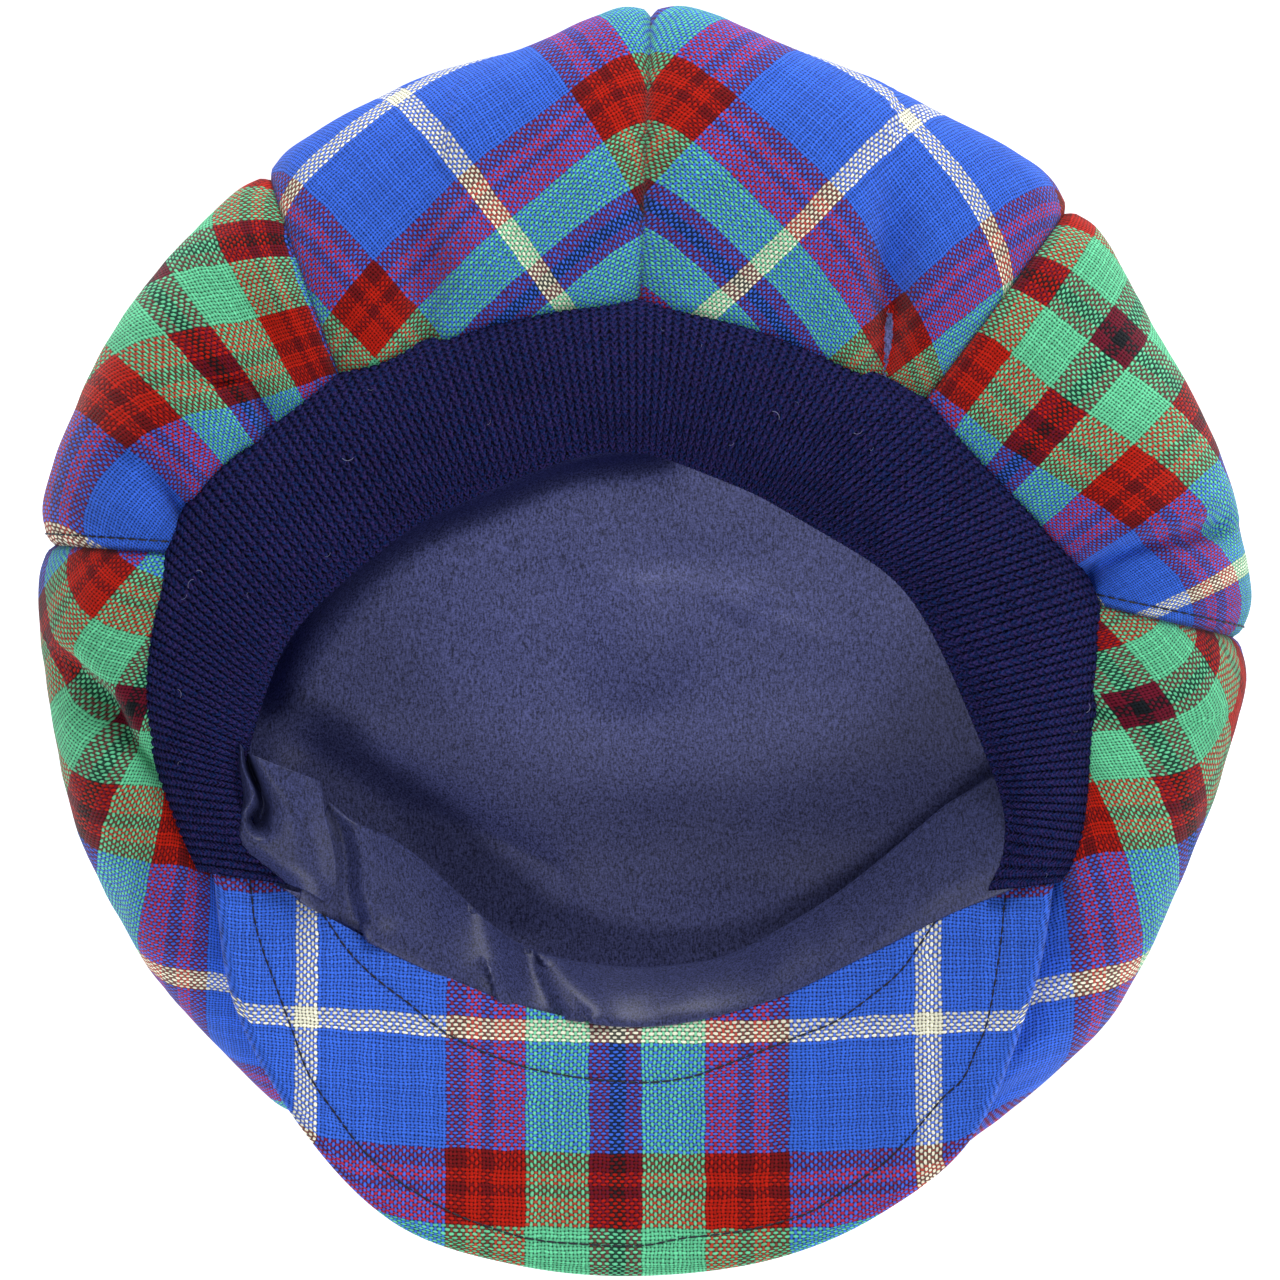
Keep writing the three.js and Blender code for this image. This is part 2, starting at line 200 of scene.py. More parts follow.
# The knit band, from its right end to its left one
BAND_FREE = [
    (80, -57.5), (85, -43), (78.5, -24), (69, -1.5), (60, 13), (48, 21.5), (36, 28.5), (26, 34.5), (13, 39.5),
    (-1, 44.5), (-18.5, 42.5), (-36, 35), (-52, 28), (-64, 19), (-76.5, 8), (-84.5, -2.5), (-90.5, -20.5),
    (-93.5, -36), (-83, -56),
]
BAND_RIM_ENDS = ((93, -54.5), (-100, -52))
BAND_END_Z = 58
# Share of the way across the band, and its rise over the line from the rim to the free edge
BAND_PROFILE = [
    (0, -2.4), (0.05, -0.6), (0.1, 1.6), (0.2, 4.2), (0.45, 6.5), (0.75, 7), (0.93, 5.6), (1, 4.2),
]
BAND_TAPER = 0.35  # panels' length over which it flattens towards an end
BAND_END_RISE = 0.25  # share of its rise that is left there
BAND_TUCK = 2.5  # how far it reaches outwards under the crown's lip
BAND_PANELS = 3  # panels that it passes on each side of the back seam
BAND_BREAKS = (0, 0.12, 0.9, 1)  # shares of the way across where its mesh rows change their spacing
BAND_ROWS = (4, 14, 4)  # mesh rows between them
BAND_POINTS = 400  # points for measuring its length
BAND_LOOSE = 0.25  # share of the way across where its humps are full
RIB_COLUMNS = 6
RIBS_FULL = 0.03  # share of the way across where the ribs have risen to their height
RIBS_SINK = 0.88  # share of the way across where they start to flatten towards the free edge
EDGE_RIBS = 0.25  # share of the ribs' height that is left on the folded edge
KNIT = 3
HAIR_LENGTH = 1.3
HAIR_RADIUS = 0.05
HAIR_HEIGHT = 0.9
HAIR_SEED = 4

# The peak: a sheet bent round an axis that climbs towards the front
PEAK_PITCH = math.radians(20)
PEAK_BEND = 240
PEAK_MIDDLE = (-1, -88)
PEAK_Z = 51.5
BOARD = 3.6
PEAK_INNER = [
    (-93, -51.5), (-85, -56.5), (-72.5, -64.5), (-54, -74), (-29, -84.5), (-1, -89),
    (27, -83.5), (51, -72.5), (69, -63.5), (81.5, -58.5), (91, -54.5),
]
PEAK_OUTER = [
    (-98.5, -54), (-93, -84), (-77, -112.5), (-56, -133.3), (-29, -142.5), (-1, -145),
    (29, -141.2), (54, -130.5), (75, -112.5), (88.5, -80), (93.5, -56),
]
PEAK_WHITE_X = -77.7  # where the left one of its white stripes runs
PEAK_WHITE_Y = -90.7  # where the white stripe across it runs
PEAK_STRETCH = 0.976
PEAK_SLANT = 0.015  # how far forwards the pattern runs to a millimetre of its right half
PEAK_SIDES = (62, 95)  # the pattern gives way at the sides, between these distances from the middle
PEAK_SIDE_SHIFT = 1.3  # how far forwards it is moved there
PEAK_SIDE_SQUEEZE = 0.12  # and how much closer its stripes get
PEAK_FRONT_SHIFT = 3.3  # how far back the pattern is moved in front of the white stripe
PEAK_FRONT_REACH = 32  # length over which that grows
PEAK_BACK_SHIFT = 10  # how far the pattern on its hidden side is moved
PEAK_COLUMNS = 181
PEAK_ROWS = 64
PEAK_CROWDING = 0.045
PEAK_TAPER = 0.02  # share of its width over which it thins out towards each end
STITCH_PULL = 0.42  # how far stitches pull the cloth in
STITCH_REACH = 1.0  # how wide the dip along them is
PULL_POINTS = 240
STITCH_DEPTH = 0.26  # how deep the thread lies

# Rows of stitching on the peak, in plan
ROW_POINTS = 200
PEAK_INNER_ROW = [
    (-75, -62), (-68.4, -71.6), (-62, -78), (-54.4, -83.8), (-45, -91.1), (-30.9, -97.4), (-16.9, -100.6),
    (-1, -102), (9.3, -101), (16.7, -98.7), (25.1, -95.5), (36.4, -91.1), (44, -88), (52.5, -82), (59, -76.4),
    (64.7, -68.6), (69.5, -61.5),
]
PEAK_OUTER_ROW = [
    (-90.7, -55.5), (-89.1, -66.8), (-84.5, -79.9), (-80.6, -90.2), (-76.9, -99.7), (-71.1, -108.2),
    (-63.8, -117.6), (-56.2, -124), (-44.9, -130.7), (-35.5, -134.4), (-26.1, -137.1), (-14.8, -138.3),
    (-1, -138.7), (8.4, -137.1), (22.4, -135.3), (36.4, -131.6), (45.9, -125.9), (55.3, -119.4),
    (62.6, -111.8), (68.4, -105), (73, -100.6), (76, -94.1), (78.7, -87.5), (81.5, -72.5), (82.9, -60),
]

# The satin strip's free edge: place in plan and height, from the tuck at the left to its right end
STRIP_FREE = [
    ((-88, -27), 60), ((-83, -30.5), 60), ((-78, -34), 59), ((-72.5, -38), 58), ((-66.6, -42.6), 54),
    ((-58.5, -46.3), 50), ((-50, -52.5), 46), ((-41.3, -60.6), 43), ((-31, -69.3), 41),
    ((-20.5, -73.6), 40), ((-6, -75.9), 39), ((7, -75.6), 39), ((20, -73), 40), ((34, -65.7), 42),
    ((45.5, -58.3), 44), ((55, -50.8), 46.5), ((63, -44), 49), ((69, -39), 51), ((74.5, -35.5), 53),
    ((79, -32.5), 54.5), ((82, -31), 55),
]
STRIP_START = 0.15  # share of the peak's inner edge that the twisted end covers
STRIP_SINK = 1
STRIP_OVERLAP = 0.4  # how far it reaches over the peak
STRIP_RISE = 1.2  # how high it starts over the peak's cloth
STRIP_PLUMP = 2.2  # how far it swells between its edges
STRIP_LEAN = 0.8  # under 1, so that it swells most on the side of the peak
STRIP_END_BULGE = 2.5
STRIP_END = 0.93  # share of the peak's inner edge where that bulge starts
STRIP_FOLD = 1.6
STRIP_COLUMNS = 340
STRIP_ROWS = 40
STRIP_CREASES = [
    ([(-72.1, -38.7), (-69.6, -44.5), (-68, -50.9), (-67.4, -57.6), (-65.4, -64)], (3, 2), (3.4, 1.6), 2.2),
    ([(-39.6, -63.6), (-38.9, -67.5), (-37.1, -72.7)], (2.2, 2.6), (0.8, 0.3), 1.3),
    ([(-26.6, -72.9), (-24.5, -78), (-22, -82.6), (-20, -86.2)], (2, 1.9), (1, 0.8), 1.6),
    ([(-22.5, -75.6), (-18.6, -80.6), (-14, -85.8)], (2, 1.8), (0.6, 0.5), 1.3),
]

# The strip's twisted end, a row from its top edge down: a narrow ridge, a hollow and a flat flap
TWIST = [
    [(-92.8, -23.6, 57), (-92.1, -24.3, 63), (-90.9, -25.9, 58), (-89.3, -26.6, 64.5),
     (-82.6, -29.3, 64), (-77.8, -31.1, 63), (-74.1, -32.5, 60.5)],
    [(-93, -29.1, 57), (-91.6, -29.3, 64), (-89.8, -30.2, 56.5), (-87.5, -30.7, 64),
     (-82.6, -33, 64.5), (-77.4, -34.6, 63), (-73.4, -36.2, 61)],
    [(-93, -36, 57), (-89.3, -35.7, 64.5), (-87.2, -37.1, 56), (-85.2, -37.1, 62.5),
     (-81.5, -37.8, 64.5), (-76.9, -39, 63.5), (-72.8, -40.6, 61)],
    [(-93.4, -41.3, 58), (-91.1, -39.9, 62), (-87.9, -41.7, 56.5), (-84.9, -41.7, 63),
     (-80.6, -42.9, 64.5), (-75.7, -44, 63), (-71.4, -45.9, 60)],
    [(-93.9, -45.2, 58.5), (-91.4, -44.7, 62.5), (-87.9, -45.9, 63), (-84.3, -46.3, 63.5),
     (-79.7, -47.5, 63.5), (-74.6, -48.6, 62), (-70.5, -51.4, 58.5)],
    [(-92.3, -49.3, 58), (-89.8, -48.6, 61), (-87, -49.8, 61.5), (-83.3, -51.4, 62),
     (-78.7, -52.8, 62), (-74.1, -54.4, 60.5), (-70.5, -56.7, 57)],
    [(-89.3, -51.8, 56), (-87.5, -52.8, 57.5), (-84.9, -54.1, 58), (-81.5, -56, 58.5),
     (-78, -57.4, 59), (-74.6, -59.2, 58), (-72.3, -60.8, 56)],
]
TWIST_WALL = 0.9
TWIST_STEPS = 90

# The lining, a smaller bowl. It rises from its lowest place by a curve, a lift that ends towards the peak
# and a tilt at the back right. Its folds are creases, as on the crown.
LINING_REACH = 0.72  # share of the way from the rim to the crown's outline
LINING_EDGE_Z = 27
LINING_DROP = 7.5  # how far under the rim it is sewn in
LINING_INSET = 4  # and how far inside it
LINING_TURN = 80
LINING_CURVE = 0.0006
LINING_LIFT = 9
LINING_TILT = 0.12
LINING_FOLDS = [
    ([(-91, -9), (-81, 7), (-67.5, 21), (-54, 30), (-37.5, 37), (-19, 44), (2, 46.5)], (6, 4.5), (17, 15), 0),
    ([(-77, -27), (-61, -37), (-45, -46.5), (-29, -60)], (7, 8), (5, 6), 0),
    ([(4, 13), (14, 11.5), (24, 8)], (2.5, 4.5), (0.5, 1.2), 0.4),
]
LINING_LOW = (-12, -22)
LIFT_ENDS = (16, 60)  # the lift fades between these distances towards the peak
TILT_STARTS = (-10, 50)  # and the tilt grows between these places to the right
LINING_FADE = (0.9, 1.9)  # all of the rise fades between these places in the section
LINING_SWELL = 1.6
LINING_TIGHT = 0.6  # part of the section, down from the sewn edge, over which the satin gets loose
LINING_EYE = (2, 20)  # and distances from its middle between which it does
LINING_STEPS = (64, 14, 16)
LINING_COLUMNS = 256
SEWN_GAP = 0.5
SATIN = 1

# Topstitching: the number of each side seam, and the side of it where the row runs
SIDE_SEAMS = ((2, -1), (6, 1))
SIDE_ROW_OFF = 2.6
SIDE_ROW_OUT = 0.12  # how far the row stands out of the cloth
SIDE_ROW_STAGES = (2.98, 1.2)
SIDE_ROW_POINTS = 160

# Lights: name, heading and height in degrees, size in metres and power in watts
LAMPS = [
    ("key", 232, 69, 0.2, 4),
    ("back", 84, 20, 0.9, 25),
    ("side", 345, 22, 0.9, 8),
    ("front", 264, 31, 0.6, 11.5),
]
LAMP_DISTANCE = 1.8
DAYLIGHT = 0.2
FLOOR_HALF = 8000
CAMERA_PLACE = (-1.03, -0.34)
VIEW_LEVEL = 40  # height at which the camera's view has its given width


def linear(code):
    """Colour from its sRGB hex code, in Blender's linear values."""
    parts = [int(code[i : i + 2], 16) / 255 for i in (1, 3, 5)]
    return [p / 12.92 if p <= 0.04045 else ((p + 0.055) / 1.055) ** 2.4 for p in parts] + [1]


def batten(points, place, closed=False):
    """Smooth curve through points, which are evenly spaced on it. place runs from 0 to 1 along it."""
    points = np.asarray(points, float)
    if points.ndim == 1:
        points = points[:, None]
    count = len(points)
    if closed:
        row = np.vstack([points[-1:], points, points[:2]])
        x = (np.asarray(place, float) % 1) * count
        i = np.minimum(np.floor(x).astype(int), count - 1)
    else:
        row = np.vstack([2 * points[0] - points[1], points, 2 * points[-1] - points[-2]])
        x = np.clip(np.asarray(place, float), 0, 1) * (count - 1)
        i = np.minimum(np.floor(x).astype(int), count - 2)
    w = (x - i)[..., None]
    p0, p1, p2, p3 = row[i], row[i + 1], row[i + 2], row[i + 3]
    m1, m2 = (p2 - p0) / 2, (p3 - p1) / 2
    return (2 * p1 - 2 * p2 + m1 + m2) * w**3 + (3 * p2 - 3 * p1 - 2 * m1 - m2) * w**2 + m1 * w + p1


def eased(points, place, spread=0.045):
    """Like batten, but with its corners rounded by averaging over a share of its length. The ends stay."""
    total, weights = 0, 0
    for step in np.linspace(-1, 1, 9):
        reach = spread * step * np.minimum(1, np.minimum(place, 1 - place) / spread)
        weight = math.exp(-2 * step**2)
        total = total + weight * batten(points, place + reach)
        weights += weight
    return total / weights


def smoothstep(x, low, high):
    """Goes smoothly from 0 at low to 1 at high."""
    t = np.clip((x - low) / (high - low), 0, 1)
    return t * t * (3 - 2 * t)


def point3(xy, z):
    """Points from places in plan and heights."""
    return np.concatenate([xy, np.asarray(z)[..., None]], -1)


def ripple(points, size, seed):
    """Smooth unevenness from -1 to 1, with humps of the given size."""
    flat = points.reshape(-1, 3) / size
    made = [noise.noise(Vector((x + seed, y - seed, z))) for x, y, z in flat]
    return np.array(made).reshape(points.shape[:-1])


def humps(points, rows):
    """How far each row of a table of humps moves the points."""
    return [height * ripple(points, size, seed) for height, size, seed in rows]


def crowded(count, pull):
    """Places from 0 to 1 that stand closer together near both ends."""
    share = np.linspace(0, 1, count)
    return share - pull * np.sin(2 * math.pi * share)


def run_lengths(points):
    """Length along rows of points, from the first point to each one."""
    return np.cumsum(np.linalg.norm(np.diff(points, axis=0, prepend=points[:1]), axis=-1), axis=0)


# The forms of the crown and the lining

EDGES = [(*edge, edge_z) for edge, rim, edge_z, rim_z, turn in STATIONS]
RIMS = [(*rim, rim_z) for edge, rim, edge_z, rim_z, turn in STATIONS]
TURNS = [turn * SLACK for *places, turn in STATIONS]


def bowl(edge, rim, turn, stage):
    """A bowl's section: stage 0 to 1 on the floor, 1 to 2 up to the edge, 2 to 3 in to the rim."""
    reach = np.hypot(edge[..., 0], edge[..., 1])
    flat = (reach - ROLL) / reach
    lift = np.clip(stage - 1, 0, 1) * math.pi / 2
    on_floor = (EYE / reach) * (1 - stage) + flat * stage
    on_roll = flat + (1 - flat) * np.sin(lift)
    share = np.where(stage <= 1, on_floor, on_roll)
    low = point3(edge[..., :2] * share[..., None], np.where(stage <= 1, 0, edge[..., 2] * (1 - np.cos(lift))))
    whole = np.radians(turn)
    a = np.clip(stage - 2, 0, 1) * whole
    back = (1 - np.cos(a)) / (1 - np.cos(whole))
    high_xy = edge[..., :2] + (rim[..., :2] - edge[..., :2]) * back[..., None]
    high = point3(high_xy, edge[..., 2] + (rim[..., 2] - edge[..., 2]) * np.sin(a) / np.sin(whole))
    return np.where((stage <= 2)[..., None], low, high)


def crown_form(seat, stage):
    """The crown's smooth form. seat counts panels round the cap, and stage is the place in its section."""
    t = seat / PANELS
    return bowl(batten(EDGES, t, True), batten(RIMS, t, True), batten(TURNS, t, True)[..., 0], stage)


def lining_form(seat, stage):
    """The lining's smooth form, in the same seats and stages."""
    t = seat / PANELS
    outline, rim = batten(EDGES, t, True), batten(RIMS, t, True)
    edge = rim + (outline - rim) * LINING_REACH
    edge[..., 2] = LINING_EDGE_Z
    shrink = 1 - LINING_INSET / np.hypot(rim[..., 0], rim[..., 1])
    sewn = point3(rim[..., :2] * shrink[..., None], rim[..., 2] - LINING_DROP)
    return bowl(edge, sewn, LINING_TURN + 0 * t, stage)


def outward(form, seat, stage):
    """Direction that points straight out of a form."""
    near = 0.01
    round_it = form(seat + near, stage) - form(seat - near, stage)
    along = form(seat, np.minimum(stage + near, 3)) - form(seat, np.maximum(stage - near, 0))
    out = np.cross(round_it, along)
    return out / np.linalg.norm(out, axis=-1, keepdims=True)


def dent_depth(x, y):
    """Depth of all the broad dents over a place in plan."""
    depth = 0 * x
    for (at_x, at_y), heading, length, width, most in DENTS:
        a = math.radians(heading)
        along = ((x - at_x) * math.cos(a) + (y - at_y) * math.sin(a)) / length
        across = ((y - at_y) * math.cos(a) - (x - at_x) * math.sin(a)) / width
        depth += most * np.exp(-(along**2) - across**2)
    return depth


def crease_depth(creases, x, y):
    """Depth of sharp creases, which is less than nothing where the cloth is lifted beside one."""
    depth = 0 * x
    for path, (width_1, width_2), (depth_1, depth_2), lift in creases:
        fine = batten(path, np.linspace(0, 1, CREASE_POINTS))
        nearest = np.full(x.shape, np.inf)
        side = 0 * x
        share = 0 * x
        for k, (a, b) in enumerate(zip(fine[:-1], fine[1:])):
            run = b - a
            t = np.clip(((x - a[0]) * run[0] + (y - a[1]) * run[1]) / (run @ run), 0, 1)
            off_x, off_y = x - a[0] - t * run[0], y - a[1] - t * run[1]
            far = np.hypot(off_x, off_y)
            closer = far < nearest
            nearest = np.where(closer, far, nearest)
            side = np.where(closer, np.sign(run[0] * off_y - run[1] * off_x), side)
            share = np.where(closer, (k + t) / (len(fine) - 1), share)
        width = width_1 + (width_2 - width_1) * share
        most = depth_1 + (depth_2 - depth_1) * share
        r = nearest / width
        depth += most * np.exp(-(r**2)) - lift * side * r * np.exp(-((r / 2.5) ** 2))
    return depth


def crown_skin(seat, stage, under=0):
    """Points of the crown's cloth, a distance under its outer face."""
    point = crown_form(seat, stage)
    out = outward(crown_form, seat, stage)
    upper = np.maximum(0, stage - 2)
    seam_seat = np.round(seat)
    from_seam = np.linalg.norm(crown_form(seam_seat, stage) - point, axis=-1)
    from_rim = np.linalg.norm(crown_form(seat, 3 + 0 * stage) - point, axis=-1)
    swell = PUFF * np.sin(math.pi * upper) * np.abs(np.sin(math.pi * seat))
    open_seam = smoothstep(stage, 1, 2)
    seam = SEAM_DIP * open_seam * np.exp(-((from_seam / SEAM_DIP_WIDTH) ** 2))
    groove = (GROOVE + GROOVE_MORE * open_seam) * np.exp(-((from_seam / GROOVE_WIDTH) ** 2))
    lip = np.where(stage > 2.5, LIP * np.exp(-((from_rim / LIP_WIDTH) ** 2)), 0)
    x, y = point[..., 0], point[..., 1]
    dents = np.minimum(1, upper / DENT_START) * (dent_depth(x, y) + crease_depth(CREASES, x, y))
    loose = smoothstep(stage, *LOOSE_STAGES) * smoothstep(from_seam, 0, LOOSE_WIDTH)
    gathered = GATHERED + (1 - GATHERED) * smoothstep(stage, *GATHERED_STAGES)
    broad, middling, fine = humps(point, CROWN_HUMPS)
    uneven = loose * (broad + gathered * middling + fine)
    away = swell - seam - groove - lip - dents + uneven - under
    return point + out * away[..., None]


def lay_out(across, along, bend):
    """A place on a panel's curved rows, laid out flat on the table."""
    bend = np.where(np.abs(bend) < 1e-5, 1e-5, bend)
    turn = across * bend
    return np.sin(turn) / bend, along - (1 - np.cos(turn)) / bend


def tartan_place(lay, across, along):
    """Where in the tartan a place on the flat panel lies. Below the outline the pattern runs on evenly."""
    u, v = across / LAY_REACH, np.maximum(along, 0) / LAY_REACH
    start, per_across, per_along, *strays = lay
    bends = (u * u, u * v, v * v, u**3, u * u * v, u * v * v, v**3)
    return start + per_across * across + per_along * along + sum(a * b for a, b in zip(strays, bends))


def fine_steps(*counts):
    """Stages of a section, with as many steps in each of its stretches as given."""
    parts = [np.linspace(k, k + 1, count, endpoint=False) for k, count in enumerate(counts)]
    return np.concatenate([*parts, [len(counts)]])


# Meshes


def grid_faces(at, turned=False):
    """Four-sided faces between the neighbouring point numbers of a grid."""
    corners = [at[:-1, :-1], at[1:, :-1], at[1:, 1:], at[:-1, 1:]]
    if turned:
        corners = [corners[0], *corners[:0:-1]]
    return np.stack(corners, -1).reshape(-1, 4).tolist()


def shell(outer, inner, wrap=False):
    """Points and faces of a closed wall between two grids of points that face away from each other."""
    columns, rows = outer.shape[:2]
    points = np.concatenate([outer.reshape(-1, 3), inner.reshape(-1, 3)])
    at = np.arange(columns * rows).reshape(columns, rows)
    back = at + columns * rows
    if wrap:
        at, back = np.vstack([at, at[:1]]), np.vstack([back, back[:1]])
    faces = grid_faces(at) + grid_faces(back, True)
    borders = [(at[:, -1], back[:, -1])]
    if wrap:
        faces += [at[:-1, 0][::-1].tolist(), back[:-1, 0].tolist()]
    else:
        borders += [(at[::-1, 0], back[::-1, 0]), (at[0], back[0]), (at[-1, ::-1], back[-1, ::-1])]
    for border in borders:
        faces += grid_faces(np.stack(border, 1))
    return points, faces


def tube(loops, turned=False):
    """Points and faces of a closed strip from a grid with one loop round it in each row."""
    count, around = loops.shape[:2]
    at = np.arange(count * around).reshape(count, around)
    ends = [at[0].tolist(), at[-1][::-1].tolist()]
    if turned:
        ends = [end[::-1] for end in ends]
    return loops.reshape(-1, 3), grid_faces(np.concatenate([at, at[:, :1]], axis=1), turned) + ends


def folded_over(sheet, away, thickness, skip=1):
    """Loops round a sheet that is folded under at its free edge, away from its seam. The underside takes one in
    so many of its rows as skip says."""
    turn = np.linspace(0, math.pi, 7)[1:-1]
    edge = sheet[:, -1:] + away[:, None] * (np.sin(turn) * thickness / 2)[None, :, None]
    edge[..., 2] += (np.cos(turn) - 1) * thickness / 2
    under = sheet[:, ::-skip] - (0, 0, thickness)
    return np.concatenate([sheet, edge, under], axis=1)


def new_object(name, points, edges, faces):
    """An object in the scene with a mesh of points in millimetres."""
    mesh = bpy.data.meshes.new(name)
    mesh.from_pydata((points * MM).tolist(), edges, faces)
    obj = bpy.data.objects.new(name, mesh)
    bpy.context.scene.collection.objects.link(obj)
    return obj


def smooth(obj):
    """Shade all of an object's faces smooth."""
    obj.data.polygons.foreach_set("use_smooth", [True] * len(obj.data.polygons))


def piece(name, points, faces, surface, places=None):
    """A smooth piece from points in millimetres. places are the points' places in the cloth's pattern."""
    obj = new_object(name, points, [], faces)
    mesh = obj.data
    mesh.validate()
    mesh.materials.append(surface)
    smooth(obj)
    if places is not None:
        layer = mesh.uv_layers.new(name="cloth")
        corner = np.zeros(len(mesh.loops), int)
        mesh.loops.foreach_get("vertex_index", corner)
        layer.data.foreach_set("uv", places[corner].astype(np.float32).ravel())
    mesh.update()
    return obj


def settle(obj, slot, *nodes):
    """Give a piece its body and hide the nodes that it stands for. Its finish, slot, is not used."""
    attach(obj, "root")
    if nodes:
        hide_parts(*nodes)


def plain(obj):
    """Turn an object with modifiers into a plain mesh."""
    graph = bpy.context.evaluated_depsgraph_get()
    mesh = bpy.data.meshes.new_from_object(obj.evaluated_get(graph))
    obj.modifiers.clear()
    old = obj.data
    obj.data = mesh
    bpy.data.meshes.remove(old)


# Materials


def add(tree, kind, settings=None, inputs=None):
    """Add a node. Its inputs are given by name or number, each as a value, a node or a node's output."""
    node = tree.nodes.new(kind)
    for name, value in (settings or {}).items():
        setattr(node, name, value)
    for name, value in (inputs or {}).items():
        if isinstance(value, bpy.types.Node):
            value = value.outputs[0]
        if isinstance(value, bpy.types.NodeSocket):
            tree.links.new(value, node.inputs[name])
        else:
            node.inputs[name].default_value = value
    return node


def new_material(name):
    """An empty material and its node tree."""
    material = bpy.data.materials.new(name)
    material.use_nodes = True
    material.node_tree.nodes.clear()
    return material, material.node_tree


def finish_material(tree, inputs):
    """End a material's tree in a shader with the given inputs."""
    shader = add(tree, "ShaderNodeBsdfPrincipled", {}, inputs)
    add(tree, "ShaderNodeOutputMaterial", {}, {"Surface": shader})


